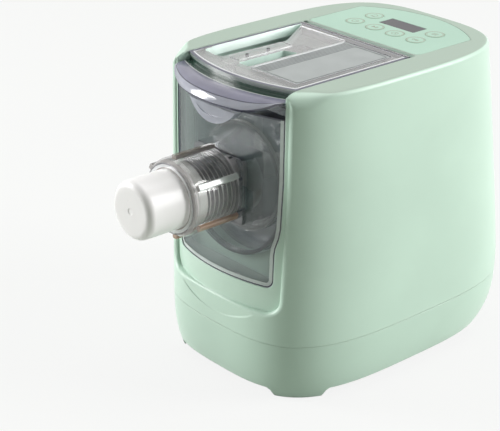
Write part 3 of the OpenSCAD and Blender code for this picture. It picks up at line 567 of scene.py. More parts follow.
# %% [markdown]
# The shallow recess round the front panel goes in to a round wall, and a carrier behind the skin
# gives it something to go into. The carrier is kept inside a slightly smaller body, so that it
# never shows through the big rounding. The mouth of the mixing bay is cut through the wall, and a
# wide shallow crease runs under the recess like a smile.
# %% Recess and mouth of the bay
RIM_WALL, LOW_R, TAPER, TAPER_Z = 2.5, 14, 0.041, 200
SMILE_R, SMILE_DROP, SMILE_T = 100, 18, 0.15
PANEL_X = 72.7


def drum(radius, low=50, high=350):
    return rod(radius, low, high, "z", (0, ARC_Y), 360)


edge_x = WINDOW_X + RIM_WALL
ahead = [(x, y) for x, y, z in oval(TOP - 2, 1.1) if abs(x) < edge_x and y < 0]
turn = degrees(asin(edge_x / (ARC_R - RIM_WALL)))
behind = arc(0, ARC_Y, ARC_R - RIM_WALL, 270 + turn, 270 - turn, 60)
core = only(body_form())
core.scale = (0.985, 0.985, 1)
core.location.z = -0.8 * MM
bpy.ops.object.transform_apply(location=True, rotation=False, scale=True)
carrier = prism(sorted(ahead) + behind, WINDOW_Z - 4, TOP - 0.5)
fuse(housing, keep(carrier, core))


def recess_wall(z):
    """Half width of the recess: it narrows a little towards its lower corners."""
    return WINDOW_X - TAPER * max(TAPER_Z - z, 0)


low_x = recess_wall(WINDOW_Z + LOW_R) - LOW_R
recess_line = ([(-recess_wall(z), z) for z in (420, TAPER_Z)]
               + arc(-low_x, WINDOW_Z + LOW_R, LOW_R, 180, 270, 12)
               + arc(low_x, WINDOW_Z + LOW_R, LOW_R, 270, 360, 12)
               + [(recess_wall(z), z) for z in (TAPER_Z, 420)])
recess = prism(recess_line, -400, ARC_Y - 100, "y")
cut(recess, drum(ARC_R + 0.5, -10, 500))


def panel_line(g, top):
    """Outline of the front panel, inset by g: full width above, a narrower tongue below."""
    side = [(PANEL_X - g, top), (PANEL_X - g, 216), (70.8 - g, 172), (69.4 - g, 163), (66.2 - g, 153),
            (65.3 - g, 146)]
    r = 8 - min(g, 5)
    corner = arc(64.6 - g - r, 112 + g + r, r, 0, -90, 8)
    right = side + corner
    return right + [(-x, z) for x, z in reversed(right)]


mouth = prism(panel_line(-0.35, 420), -400, -100, "y")
top_mouth = prism([(-BAY_X, -400), (BAY_X, -400)] + arc(BAY_X - 3, BAY_REAR - 3, 3, 0, 90, 6)
                  + arc(-BAY_X + 3, BAY_REAR - 3, 3, 90, 180, 6), TOP - 20, TOP + 20)
smile = keep(rod(SMILE_R, -400, -60, "y", (0, WINDOW_Z - SMILE_DROP + SMILE_R), 240),
             block(-75, 75, -500, 0, 60, 130))
cut(smile, rod(400, -10, 400, "z", (0, 400 - FRONT_D + SMILE_T), 720))
cut(housing, smile, recess, mouth, top_mouth)
print("housing faces:", len(housing.data.polygons))

# %% The D-shaped seat of the control panel, and the vents
PANEL_Y0, PANEL_Y1, D_ARC, D_CORNER = 33, 133, 114, 7
VENTS, VENT_PITCH, VENT_W = 9, 8, 4


def d_outline(grow=0):
    r = D_CORNER + grow
    cx, cy = BAY_X - D_CORNER, PANEL_Y0 + D_CORNER
    top_c = PANEL_Y1 - D_ARC
    high = top_c + sqrt((D_ARC - D_CORNER) ** 2 - cx ** 2)
    turn = degrees(atan2(high - top_c, cx))
    return (arc(cx, cy, r, 270, 360, 8) + arc(cx, high, r, 0, turn, 6)
            + arc(0, top_c, D_ARC + grow, turn, 180 - turn, 60)[1:-1]
            + arc(-cx, high, r, 180 - turn, 180, 6) + arc(-cx, cy, r, 180, 270, 8))


cut(housing, prism(d_outline(0.3), TOP - 2, TOP + 5), prism(d_outline(-6), TOP - 10, TOP + 5))
for k in range(VENTS):
    x = -34 + VENT_PITCH * k
    cut(housing, prism(round_rect(x, x + VENT_W, 76, 124, 1.9, 5), 100, 250, "y"))

# %% [markdown]
# The recess's rim is rounded by one cutter, which runs down one side, round the lower corners and
# up the other side. Its section follows an arc that leaves the skin smoothly and meets the wall of
# the recess further in.
# %% Rounding of the recess's rim
RIM_DEEP, RIM_WIDE, FOOT_DEEP, FOOT_WIDE = 3.6, 5.6, 1.1, 2.4


def skin_front(x, z):
    """y of the outer skin's front at x and z."""
    line = sorted((px, py) for px, py, _ in oval(z, 0) if py < 0)
    for (x0, y0), (x1, y1) in zip(line, line[1:]):
        if x0 <= x <= x1:
            return y0 + (y1 - y0) * (x - x0) / (x1 - x0)


def rim_section(x, z, mx, mz, deep, wide):
    """Section of the cutter at a point of the recess's wall; (mx, mz) leads away from the recess."""
    def skin(u):
        return skin_front(x + mx * u, z + mz * u)

    slope = skin(wide + 0.5) - skin(wide - 0.5)
    inward = Vector((-slope, 1)).normalized()
    low, high = Vector((0, skin(0) + deep)), Vector((wide, skin(wide)))
    r = -(high - low).length_squared / (2 * inward.dot(high - low))
    centre = high + inward * r
    first, last = [atan2((p - centre).y, (p - centre).x) for p in (low, high)]
    ahead = atan(slope) - radians(6)
    flat = [(-1, low.y - 20), (-1, low.y + 0.3)]
    for k in range(10):
        t = first + (last - first) * k / 9
        flat.append((centre.x + r * cos(t), centre.y + r * sin(t)))
    beyond = wide + 3 * cos(ahead)
    flat += [(beyond, high.y + 3 * sin(ahead)), (beyond, low.y - 20)]
    return [(x + u * mx, y, z + u * mz) for u, y in flat]


half_path = [(recess_wall(z), z, 1, 0, RIM_DEEP, RIM_WIDE) for z in range(306, 110, -12)]
for k in range(13):
    t = radians(7.5 * k)
    half_path.append((low_x + LOW_R * cos(t), WINDOW_Z + LOW_R - LOW_R * sin(t),
                      cos(t), -sin(t), RIM_DEEP - k / 12, RIM_WIDE - k / 6))
half_path += [(x, WINDOW_Z, 0, -1, FOOT_DEEP + 1.5 * x / 58, FOOT_WIDE + 1.2 * x / 58)
              for x in (48, 36, 24, 12)]
other_half = [(-x, z, -mx, mz, deep, wide) for x, z, mx, mz, deep, wide in reversed(half_path)]
path = half_path + [(0, WINDOW_Z, 0, -1, FOOT_DEEP, FOOT_WIDE)] + other_half
cut(housing, loft([rim_section(*step) for step in path]))
print("rim rounded, faces:", len(housing.data.polygons))
smooth(housing, 28)
dress(housing, mint_body)
settle(housing, "housing_skin", "machine", "mint", "housing_shell")

# %% [markdown]
# ## Base
# The base turns in towards the table and stands on four corners, with a low arch between each two.
# %% Base
BASE_HEIGHTS = [0.6, 1, 2, 4, 6, 9, 13, 18, 24, 31, 39, 48, 58]
INLET_Z = SEAM_Z - 15
base = loft([oval(z, 0, outline_z=0 if z < 1 else z) for z in BASE_HEIGHTS])
cut(base, loft([oval(z, WALL + 2.5, COARSE) for z in (ARCH_H + 4, 22, 34, 58, 80)]))
for low, high, axis in ((-66, 66, "y"), (-98, 112, "x")):
    half_arch = [(high + 0.2, -3), (high, 0), (high - 2.5, 7), (high - 5.5, ARCH_H)]
    cut(base, prism([(low + high - u, z) for u, z in half_arch[:1]] + half_arch
                    + [(low + high - u, z) for u, z in reversed(half_arch[1:])], -400, 400, axis))
inlet_seat = level_at(FOOT_D, REAR_D, TOP_REAR_D, INLET_Z - 13) - 3.2
fuse(base, block(-22, 22, inlet_seat - 3, inlet_seat + 0.5, INLET_Z - 16, SEAM_Z))
cut(base, prism(round_rect(-18, 18, INLET_Z - 14, INLET_Z + 14, 3), inlet_seat, 300, "y"),
    prism(round_rect(-14, 14, INLET_Z - 10, INLET_Z + 10, 2), 100, 300, "y"))
for k in range(6):
    cut(base, block(-30, 30, 84 + 8 * k, 87 + 8 * k, -5, ARCH_H + 5))
smooth(base, 28)
dress(base, mint_base)
settle(base, "base_skin", "machine", "mint", "base_shell")

# %% [markdown]
# ## Control panel
# A glossy D-shaped plate of the housing's own colour is let into the top. Six round keys stand in
# it, each marked by two thin printed rings and a simple sign, with a dark display between them.
# %% Control panel plate
KEY_D, DISPLAY_W, DISPLAY_L, DISPLAY_Y = 19, 46, 20, 91
KEYS = {"key_power": (-40, 66), "key_program": (-40, 93), "key_start": (-13.3, 66),
        "key_time": (13.3, 66), "key_extrude": (40, 66), "key_menu": (40, 93)}


def display(gap, r):
    """Outline of the display, smaller all round by the gap."""
    x, y = DISPLAY_W / 2 - gap, DISPLAY_L / 2 - gap
    return round_rect(-x, x, DISPLAY_Y - y, DISPLAY_Y + y, r)


plate = prism(d_outline(0), TOP - 2, TOP)
for x, y in KEYS.values():
    cut(plate, rod(KEY_D / 2 + 0.2, TOP - 5, TOP + 5, "z", (x, y), 72))
cut(plate, prism(display(0, 1.2), 290, 310))
soften(plate, 0.35, 2)
smooth(plate)
dress(plate, mint_panel)
settle(plate, "control_plate", "machine", "mint_gloss", "control_panel")

glass = prism(display(0.1, 1.1), TOP - 2, TOP - 0.1)
soften(glass, 0.3, 2)
smooth(glass)
dress(glass, dark_glass)
settle(glass, "display_glass", "machine", "dark_window", "display_window")


# %% Keys with printed rings
def key_cap(name, x, y):
    top, r = TOP + 0.3, KEY_D / 2
    bands = [r - 0.25, r - 0.95, r - 1.6, r - 2, 6.8]
    profile = [(0, 281.2), (2, 281.2), (2, 297), (r + 1, 296.9), (r + 1, 297.9), (r, 297.9), (r, top - 0.25)]
    profile += [(b, top) for b in bands] + [(0, top)]
    cap = turned(profile, (x, y, 0), "z", 64)
    smooth(cap, 40)

    def printed(face, fx, fy, fz):
        d = hypot(fx - x, fy - y)
        rings = bands[1] < d < bands[0] or bands[3] < d < bands[2]
        return ring_ink if rings and face.normal.z > 0.99 else mint_panel

    paint(cap, printed)
    settle(cap, name + "_cap", name, "mint_gloss", name)


for key, (x, y) in KEYS.items():
    key_cap(key, x, y)

# %% [markdown]
# The signs are flat printed shapes: a broken ring with a bar, a triangle, a clock, three lines and
# so on. Each is an outline that is extruded by a twentieth of a millimetre.
# %% Printed signs
SIGN_LOW, SIGN_HIGH = TOP + 0.29, TOP + 0.34


def ring_part(x, y, r_out, r_in, start, end):
    return prism(arc(x, y, r_out, start, end, 24) + arc(x, y, r_in, end, start, 24), SIGN_LOW, SIGN_HIGH)


def bar(x, y, dx, dy, width):
    d = Vector((dx, dy)).normalized()
    n = Vector((-d.y, d.x)) * width / 2
    a, b = Vector((x, y)), Vector((x + dx, y + dy))
    return prism([a - n, b - n, b + n, a + n], SIGN_LOW, SIGN_HIGH)


def signs(x, y, kind):
    if kind == "key_power":
        return [ring_part(x, y, 3.6, 3, 125, 415), bar(x, y + 0.6, 0, 3.6, 0.6)]
    if kind == "key_start":
        return [prism([(x - 3, y - 2.4), (x + 0.6, y), (x - 3, y + 2.4)], SIGN_LOW, SIGN_HIGH),
                bar(x + 1.6, y - 2.3, 0, 4.6, 0.7), bar(x + 3, y - 2.3, 0, 4.6, 0.7)]
    if kind == "key_time":
        return [ring_part(x, y, 3.5, 3, 0, 359.9), bar(x, y, 0, 2.4, 0.5), bar(x, y, 1.7, -0.8, 0.5)]
    if kind == "key_extrude":
        return ([ring_part(x - 2.4, y, 1.6, 1.1, 0, 359.9)]
                + [bar(x - 0.2, y + k, 3.8, 0, 0.5) for k in (-1.2, 0, 1.2)])
    if kind == "key_menu":
        return [bar(x - 3, y + k, 6, 0, 0.6) for k in (-2, 0, 2)]
    return [ring_part(x, y + 0.6, 3.2, 2.6, 200, 520), bar(x - 2.6, y - 2.8, 5.2, 0, 0.6)]


for key, (x, y) in KEYS.items():
    pieces = signs(x, y, key)
    sign = only(pieces[0])
    for piece in pieces[1:]:
        piece.select_set(True)
    bpy.ops.object.join()
    dress(sign, ring_ink)
    settle(sign, key.replace("key_", "sign_"), key, "dark_plastic")

# %% [markdown]
# ## Lid
# The lid is one see-through moulding: a flat plate, a short wall down to a shelf, and a visor that
# bends forward over the front panel. Its plan follows an arc, so the visor is a loft whose section
# changes from station to station, and its two tips are rounded by drawing the section in. A low
# crown with sloped sides lies on the plate, and its sloped edge is painted white as a highlight.
# %% Lid
LID_X, LID_T, HINGE_Y, HINGE_R, SKIRT_T, SKIRT_H = 72, 3, 24, 6.5, 2.2, 11.5
SHELF_Z, CROWN_Z = TOP - 8, TOP - 0.35
LID_ARC, SHELF_ARC, VISOR_ARC = (ARC_R, 47), (161, 17), (120, -41)
VISOR_ANGLES = (8, 18, 28, 38, 45, 49, 58, 68, 78, 84, 88)
LABEL = (0, 61, -107, 12)


def arc_front(r, yc, x):
    return yc - sqrt(r * r - x * x)


def visor_drop(x):
    """How far the visor's front comes down; its lower edge rises towards the tips."""
    return max(11.5 - 13 * (max(abs(x) - 36, 0) / 36) ** 2, 1)


def visor_section(x):
    a = arc_front(*LID_ARC, x) + 1
    b = arc_front(*SHELF_ARC, x)
    past = min(max(abs(x) - 62, 0) / 9.6, 1)
    c = b + (arc_front(*VISOR_ARC, x) - b) * (0.45 + 0.55 * sqrt(1 - past ** 2))
    drop = visor_drop(x)
    outer = [(b + (c - b) * sin(t) ** 0.85, SHELF_Z - drop * (1 - cos(t)))
             for t in map(radians, VISOR_ANGLES)]
    inner = [(y + 2, z - 1.9) for y, z in reversed(outer[1:])]
    shelf = [(a - 0.8 + (b - a + 0.8) * share, SHELF_Z) for share in (0, 0.55, 0.68)]
    wall = [(a + SKIRT_T, TOP - LID_T + 1), (a, TOP - LID_T + 1), (a, TOP - 4.6), (a, TOP - 7.4)]
    lip = (outer[-1][0] + 1.2, outer[-1][1] - 1.2)
    return (wall + shelf + [(b, SHELF_Z)] + outer + [lip] + inner
            + [(b + 2.2, TOP - 10.2), (a + SKIRT_T, TOP - 10.2)])


def neighbours(points):
    """Each corner with the one before it and the one after it."""
    all_of = [Vector(p) for p in points]
    return zip(all_of[-1:] + all_of[:-1], all_of, all_of[1:] + all_of[:1])


def grown_outline(points, grow):
    """The outline moved outwards by grow, corner by corner; it runs against the clock."""
    moved = []
    for a, b, c in neighbours(points):
        u, v = (b - a).normalized(), (c - b).normalized()
        n1, n2 = Vector((u.y, -u.x)), Vector((v.y, -v.x))
        moved.append(b + (n1 + n2) * grow / (1 + n1.dot(n2)))
    return moved


half = LID_X - 0.4
stations = [half * sin(radians(t)) for t in range(-90, 91, 5)]
lid = loft([[(x, y, z) for y, z in visor_section(x)] for x in stations])
deck_line = ([(LID_X, HINGE_Y), (-LID_X, HINGE_Y)]
             + [(x, arc_front(*LID_ARC, x)) for x in [-LID_X + LID_X * k / 24 for k in range(49)]])
deck = prism(deck_line, TOP - LID_T, CROWN_Z)
crown = loft([[(x, y, z) for x, y in grown_outline(deck_line, -inset)]
              for inset, z in ((3.2, TOP - LID_T + 0.5), (3.2, CROWN_Z), (4.3, TOP))])
hinge = prism(arc(HINGE_Y, TOP - HINGE_R, HINGE_R, 0, 360, 48)[:-1], -LID_X, LID_X, "x")
fuse(lid, deck, crown, hinge)
for s in (-1, 1):
    x = s * (LID_X - SKIRT_T / 2)
    fuse(lid, block(x - SKIRT_T / 2, x + SKIRT_T / 2, arc_front(*LID_ARC, LID_X) + 2, HINGE_Y - 6,
                    TOP - SKIRT_H, TOP - 1))
print("lid faces:", len(lid.data.polygons))

# %% [markdown]
# The two slots in the plate let liquid in while the paddle turns. Each stands in a collar under the
# plate, and its upper rim is sloped, so a funnel is cut: a loft from the slot's own outline to a
# wider one at the top. A field round them is sunk by less than a millimetre, with an island in it.
# %% Slots and seats in the lid
FIELD = [(-67, -98), (-54, -107), (-34, -113), (-12, -115), (-1.2, -112), (-1.2, 15), (-67, 15)]
ISLAND = [(-37, -101), (-22.5, -101), (-22.5, -34), (-37, -34)]
LIQUID_SLOT = [(-63, -104), (-43, -104), (-40, -28), (-66, 14), (-66, -88)]
NARROW_SLOT = [(-17, -104), (-5, -104), (-5, -46), (-17, -50)]


def rounded(points, r, steps=5):
    """The outline with each corner turned into a small arc-like curve."""
    out = []
    for a, b, c in neighbours(points):
        start, end = b + (a - b).normalized() * r, b + (c - b).normalized() * r
        for t in [k / steps for k in range(steps + 1)]:
            out.append(start * (1 - t) ** 2 + b * 2 * t * (1 - t) + end * t * t)
    return out


field = prism(rounded(FIELD, 3), TOP - 0.8, TOP + 1)
cut(field, prism(rounded(ISLAND, 2), TOP - 3, TOP + 3))
cut(lid, field)
for outline, r, flare in ((LIQUID_SLOT, 4, 2.4), (NARROW_SLOT, 2, 1.2)):
    core = rounded(outline, r)
    wide = rounded(grown_outline(outline, flare), r + 0.6)
    fuse(lid, prism(rounded(grown_outline(outline, 3.2), r + 1), TOP - 8.5, TOP - 1.5))
    cut(lid, prism(core, TOP - 12, TOP + 2),
        loft([[(x, y, TOP - 8.3) for x, y in core], [(x, y, TOP + 0.1) for x, y in wide]]))
for y in (-84, -58):
    cut(lid, rod(1.6, TOP - 10, TOP + 2, "z", (-30, y), 32))
x0, x1, y0, y1 = LABEL
cut(lid, prism(round_rect(x0, x1, y0, y1, 1.5), TOP - 1.2, TOP + 2),
    block(LID_X - 10, LID_X - 2.2, HINGE_Y - 14, HINGE_Y - 7, TOP - 20, TOP - LID_T + 1))
keep(lid, prism(round_rect(-LID_X, LID_X, -200, HINGE_Y + HINGE_R, 7), 250, 330))
for s in (-1, 1):
    cut(lid, block(*sorted((s * (LID_X - 0.8), s * (LID_X + 1))), HINGE_Y - HINGE_R - 0.5, HINGE_Y + 10,
                   TOP - 13, TOP + 1))
smooth(lid, 30)


def lid_finish(face, x, y, z):
    n = face.normal
    near = min(abs(x), 71)
    front = arc_front(*LID_ARC, near)
    share = (y - front) / (arc_front(*SHELF_ARC, near) - front)
    # The shelf's front part, the visor's top and the lower front wall are painted dark green as painted
    # shade; a white line between them is a painted highlight.
    if z < TOP - 7 and y < front + 1.5:
        fall = (SHELF_Z - z) / visor_drop(x)
        if share < 0.95 and n.z > 0.9:
            return band_painted_shade if share < 0.56 else painted_highlight if share < 0.68 else band_purple
        if share < 0.3 and n.z > -0.5:
            return band_painted_shade
        if n.y > 0.3:
            return lip_face
        if fall < 0.29 and n.z > 0:
            return band_purple
        return smoke_edge if fall < 0.35 or fall > 0.89 else lip_face
    # The lid's front wall is painted lighter above as painted light and dark green below as painted shade.
    if y < front + 1.5 and abs(n.z) < 0.6:
        return band_painted_light if z > TOP - 4.7 else band_painted_shade
    if abs(x + 30) < 2 and abs(n.z) < 0.6:
        return smoke_edge
    # The slot walls and the skirt seen through the slots are painted pale mint as painted light; their top
    # edges are painted white as highlights.
    if -69 < x < 1 and -118 < y < 17 and abs(n.z) < 0.97 and z > TOP - 9.5:
        return painted_highlight if z > TOP - 0.9 else slot_painted_light
    if x < -60 and n.x > 0.5:
        return slot_painted_light
    if n.z > 0.99 and TOP - 0.5 < z < TOP - 0.2:
        return border
    # The crown's sloped edge and the top edges of walls are painted white as highlights.
    if 0.7 < n.z < 0.99 and z > TOP - 0.4 and y < HINGE_Y - 3:
        return painted_highlight
    if abs(n.z) < 0.6:
        return painted_highlight if z > TOP - 0.5 else smoke_edge
    return clear_face


paint(lid, lid_finish)
settle(lid, "lid_moulding", "lid", "clear", "lid_cover")

# %% Frosted plate in the lid
LINE_LOW, LINE_HIGH, RIDGES, RIDGE_PITCH = TOP - 0.6, TOP - 0.05, 6, 2.7
label = prism(round_rect(x0 + 0.1, x1 - 0.1, y0 + 0.1, y1 - 0.1, 1.4), TOP - 1.2, TOP - 0.4)
for k in range(RIDGES):
    x = x0 + RIDGE_PITCH * k
    end = x + (2.2 if k == 0 else 1.5)
    fuse(label, prism(round_rect(x + 0.8, end, y0 + 3, y1 - 3, 0.3, 3), LINE_LOW, LINE_HIGH))
fuse(label, cut(prism(round_rect(x0 + 17, x1 - 2.4, y0 + 3, y1 - 3, 2.5), LINE_LOW, LINE_HIGH),
                prism(round_rect(x0 + 17.5, x1 - 2.9, y0 + 3.5, y1 - 3.5, 2.1), TOP - 2, TOP + 2)))
smooth(label, 30)


def label_finish(face, x, y, z):
    if z < TOP - 0.3:
        return frost_face
    # The leftmost ridge is painted white as a highlight.
    return painted_highlight if x < x0 + 2.4 else line_dark


paint(label, label_finish)
settle(label, "lid_plate", "lid", "frosted_plate", "lid_label_plate")

# %% [markdown]
# ## Front panel
# The panel is a shell, open at the rear: a curved face with a rim behind its edge. From it stands
# the barrel that carries the nut, and behind it a cone guides dough from the cup to the screw.
# A prism of the opening is kept inside a drum, and a smaller one is taken out of it. Two fields,
# one in the other, are sunk in its face, and leave a strip along the border, painted pale as
# painted light and dark on the upper left as painted shade.
# %% Front panel
PANEL_Z1, PANEL_WALL, FACE_Y, FLANGE_Y = 276, 2.5, ARC_Y - ARC_R, -124.5
NECK_R, NUT_REAR, NUT_L, BARREL_END, BORE = 30.9, FACE_Y - 4.3, 50, -191.7, 23
CUP_FRONT, CUP_REAR, CUP_WALL, CONE_R = -112, 26.5, 2.5, 49
SHOULDER = CUP_FRONT - 4
STRIP = ((1.1, 0.2), (4.3, 0.4))
panel = prism(panel_line(0, PANEL_Z1), -300, FLANGE_Y - 0.3, "y")
keep(panel, drum(ARC_R))
hollow = prism(panel_line(PANEL_WALL, PANEL_Z1 - PANEL_WALL), -300, -60, "y")
keep(hollow, drum(ARC_R - PANEL_WALL))
cut(panel, hollow)
for inset, sunk in STRIP:
    field = prism(panel_line(inset, PANEL_Z1 - 1.2), -300, -100, "y")
    cut(panel, cut(field, drum(ARC_R - sunk)))
print("panel faces:", len(panel.data.polygons))

# %% [markdown]
# The barrel's profile carries the thread as six rings. The duct is a square tube in front of the
# cone, and a dark U-shaped rib behind the face is the seat of the cup's front edge.
# %% Barrel with its thread rings, collar, duct and spigot
THREAD_RINGS, THREAD_PITCH, ROOT_R = 6, 5, NECK_R - 1.6
thread = []
for k in range(THREAD_RINGS):
    y = BARREL_END + 11 + THREAD_PITCH * k
    thread += [(ROOT_R, y), (NECK_R, y + 0.9), (NECK_R, y + 2.1), (ROOT_R, y + 3)]
tip = [(BORE, BARREL_END), (NECK_R - 0.8, BARREL_END), (NECK_R, BARREL_END + 0.8), (NECK_R, BARREL_END + 9.5)]
collar = [(ROOT_R, NUT_REAR + 0.3), (NECK_R + 5, NUT_REAR + 0.3), (NECK_R + 6, NUT_REAR + 1.3),
          (NECK_R + 6, FACE_Y + 2), (NECK_R + 5, FACE_Y + 2.6), (BORE + 2, FACE_Y + 2.6),
          (BORE, FACE_Y + 2.6)]
barrel = turned(tip + thread + collar, (0, 0, AXIS_Z))
flange_r, cone_in, cone_end = CONE_R + 4, CONE_R - PANEL_WALL, CUP_FRONT + CUP_WALL
spigot = turned([(BORE + 9, SHOULDER - 2), (flange_r, SHOULDER - 2), (flange_r, SHOULDER), (CONE_R, SHOULDER),
                 (CONE_R, cone_end), (cone_in, cone_end), (cone_in, SHOULDER), (BORE + 9, SHOULDER)],
                (0, 0, AXIS_Z))
duct = cut(prism(round_rect(-34, 34, AXIS_Z - 33, AXIS_Z + 33, 7), FACE_Y + 1.5, SHOULDER - 1, "y"),
           prism(round_rect(-32, 32, AXIS_Z - 31, AXIS_Z + 31, 5), FACE_Y + 2, SHOULDER + 5, "y"))
fuse(panel, barrel, spigot, duct)
cut(panel, rod(BORE, -400, FACE_Y + 8, "y", (0, AXIS_Z)))
print("panel with barrel:", len(panel.data.polygons))


def trough(r, top, steps=64):
    return [(r, top), (-r, top)] + arc(0, AXIS_Z, r, 180, 360, steps)


seat = cut(prism(trough(71.5, 262), FLANGE_Y - 6, FLANGE_Y - 0.5, "y"),
           prism(trough(68.2, 400), -300, 0, "y"))
fuse(panel, seat)

# %% [markdown]
# The thumb grip is a half oval that hangs near the top edge and stands proud, with a hollow in it.
# %% Thumb grip
GRIP_W, GRIP_DROP, GRIP_OUT = 31, 16, 8
grip_r = (GRIP_W ** 2 + GRIP_DROP ** 2) / (2 * GRIP_DROP)
grip = rod(grip_r, FACE_Y - GRIP_OUT, FACE_Y + 3, "y", (0, PANEL_Z1 - 1 - GRIP_DROP + grip_r), 128)
keep(grip, drum(ARC_R + GRIP_OUT, 200, PANEL_Z1 - 1))
cut(grip, rod(grip_r - 3, FACE_Y - 20, FACE_Y - GRIP_OUT + 1.2, "y",
              (0, PANEL_Z1 + 2 - GRIP_DROP + grip_r), 128))
soften(grip, 1.2, 3, 50)
fuse(panel, grip)
smooth(panel, 34)


def panel_finish(face, x, y, z):
    """Big faces are told apart by their corners, because their centres may lie anywhere."""
    n = face.normal
    r, from_axis = hypot(x, z - AXIS_Z), hypot(x, y - ARC_Y)
    corners = [panel.data.vertices[i].co / MM for i in face.vertices]
    depths = [hypot(c.x, c.y - ARC_Y) for c in corners]
    if all(67.5 < hypot(c.x, min(c.z - AXIS_Z, 0)) < 72.5 and FLANGE_Y - 6.2 < c.y < FLANGE_Y - 0.3
           for c in corners):
        return smoke_deep
    if abs(n.z) < 0.2 and all(ARC_R - PANEL_WALL - 0.1 < d < ARC_R - 0.3 for d in depths):
        return smoke_face
    # The border strip is painted pale as painted light, and dark on the upper left as painted shade.
    if abs(n.z) < 0.2 and all(ARC_R - 0.3 < d < ARC_R - 0.1 for d in depths):
        return smoke_edge if x < -60 and z > 150 else strip_painted_light
    if y < FACE_Y + 0.5 and r > 40 and z > 250 and from_axis > ARC_R + 0.4:
        return lip_face
    if y < NUT_REAR + 0.4 and r < 40:
        if y < BARREL_END + 9.6:
            return collar_white
        # The thread's crests are painted white as highlights against darker flanks.
        return thread_crest_highlight if r > NECK_R - 0.3 else thread_dark
    if y < FACE_Y - 0.5:
        return clear_face
    if r < CONE_R + 4.5 and y > FACE_Y + 1:
        return smoke_edge if abs(n.z) > 0.7 and y < SHOULDER - 1.5 and r < 49 else hood_face
    if from_axis > ARC_R - 0.3:
        return smoke_edge
    # Upward faces low in the panel are painted pale as painted light.
    if n.z > 0.5 and z < AXIS_Z - CONE_R - 6:
        return strip_painted_light
    # Side walls are painted near-black on the left as painted shade.
    if abs(n.y) < 0.5 and r > CONE_R + 6:
        return smoke_deep if x < 0 else smoke_edge
    return smoke_face


paint(panel, panel_finish)
settle(panel, "panel_moulding", "panel", "smoke_clear", "front_panel")

# %% [markdown]
# ## Nut and die
# The nut is turned, then six ribs are joined to it for the hand. The die sits in its mouth: a white
# cap with a rounded front, a gate mark in the middle and five slots underneath.
# %% Ribbed nut
NUT_D, RIBS, RIB_H, NUT_LIP, DIE_D, DIE_L = 73, 6, 3.8, 4, 55, 44
NUT_FRONT = NUT_REAR - NUT_L
nut_r, bore_r, die_r = NUT_D / 2, NECK_R + 0.3, DIE_D / 2
nut = turned([(bore_r, NUT_REAR), (nut_r - 1, NUT_REAR), (nut_r, NUT_REAR - 1), (nut_r, NUT_REAR - 43),
              (nut_r - 1.2, NUT_REAR - 47), (nut_r - 3.5, NUT_FRONT), (nut_r - 5, NUT_FRONT),
              (die_r + 1.2, NUT_FRONT), (die_r + 0.3, NUT_FRONT), (die_r + 0.3, NUT_FRONT + NUT_LIP),
              (bore_r, NUT_FRONT + NUT_LIP)], (0, 0, AXIS_Z), "y", 120)
for k in range(RIBS):
    a = radians(90 + 360 * k / RIBS)
    low, high = nut_r - 2, nut_r + RIB_H
    corners = [(low, -3), (high - 1, -3), (high, -2), (high, 2), (high - 1, 3), (low, 3)]
    rib = [(u * cos(a) - v * sin(a), AXIS_Z + u * sin(a) + v * cos(a)) for u, v in corners]
    fuse(nut, prism(rib, NUT_REAR - 45, NUT_REAR, "y"))
soften(nut, 0.45, 2, 55)
smooth(nut, 30)


def nut_finish(face, x, y, z):
    r = hypot(x, z - AXIS_Z)
    if r > nut_r + 0.6 and y < NUT_REAR - 0.3:
        if z < AXIS_Z:
            return amber_edge
        if abs(x) < 5:
            return brown_edge
        # The rib tops are painted white as a highlight.
        return painted_highlight if r > nut_r + RIB_H - 0.6 else clear_edge
    # A ring on the nut's front face is painted white as a highlight.
    if y < NUT_FRONT + 0.3:
        return brown_edge if r < die_r + 1.2 else painted_highlight if r < nut_r - 5 else clear_dark
    if y < NUT_REAR - 46.5 and r > 30:
        return clear_edge
    if y > NUT_REAR - 2.5 and r > bore_r + 1:
        return clear_dark
    return clear_face


paint(nut, nut_finish)
settle(nut, "nut_moulding", "nut", "clear", "nozzle_nut")

# %% Die
DIE_FRONT, DIE_REAR, DIE_R = NUT_FRONT - DIE_L, NUT_FRONT + NUT_LIP + 0.3, 7
SLOTS, SLOT_PITCH = 5, 6.4
front_curve = [(die_r - DIE_R + DIE_R * cos(t), DIE_FRONT + DIE_R - DIE_R * sin(t))
               for t in map(radians, range(0, 91, 10))]
hollow_side = [(0, DIE_FRONT + 4), (BORE - 1, DIE_FRONT + 4), (BORE - 1, DIE_REAR + 4),
               (bore_r - 0.5, DIE_REAR + 4), (bore_r - 0.5, DIE_REAR), (die_r, DIE_REAR)]
gate_mark = [(3.2, DIE_FRONT), (2.6, DIE_FRONT + 0.5), (0, DIE_FRONT + 0.6)]
die = turned(hollow_side + front_curve + gate_mark, (0, 0, AXIS_Z), "y", 120)
for k in range(SLOTS):
    y = DIE_FRONT + 9 + SLOT_PITCH * k
    cut(die, block(-8, 8, y, y + 2, AXIS_Z - die_r - 1, AXIS_Z - 8))
smooth(die, 30)
dress(die, white_plastic)
settle(die, "die_moulding", "die", "white_plastic", "pasta_die")

# %% [markdown]
# ## Cup
# The cup is a trough: straight walls over a half round. It shows through the panel and the lid, and
# its front edge is the dark U that gives the front its look.
# %% Mixing cup
CUP_R = 72.7
cup = prism(trough(CUP_R, PANEL_Z1), CUP_FRONT, CUP_REAR, "y")
cut(cup, prism(trough(CUP_R - CUP_WALL, 400), CUP_FRONT + CUP_WALL, CUP_REAR - CUP_WALL, "y"),
    rod(CONE_R + 0.3, CUP_FRONT - 2, CUP_FRONT + 5, "y", (0, AXIS_Z)),
    rod(12.05, CUP_REAR - 10, CUP_REAR + 1, "y", (0, AXIS_Z), 48),
    prism(trough(CUP_R - 3.4, 400), CUP_FRONT - 1, CUP_FRONT + 0.4, "y"))
smooth(cup, 30)


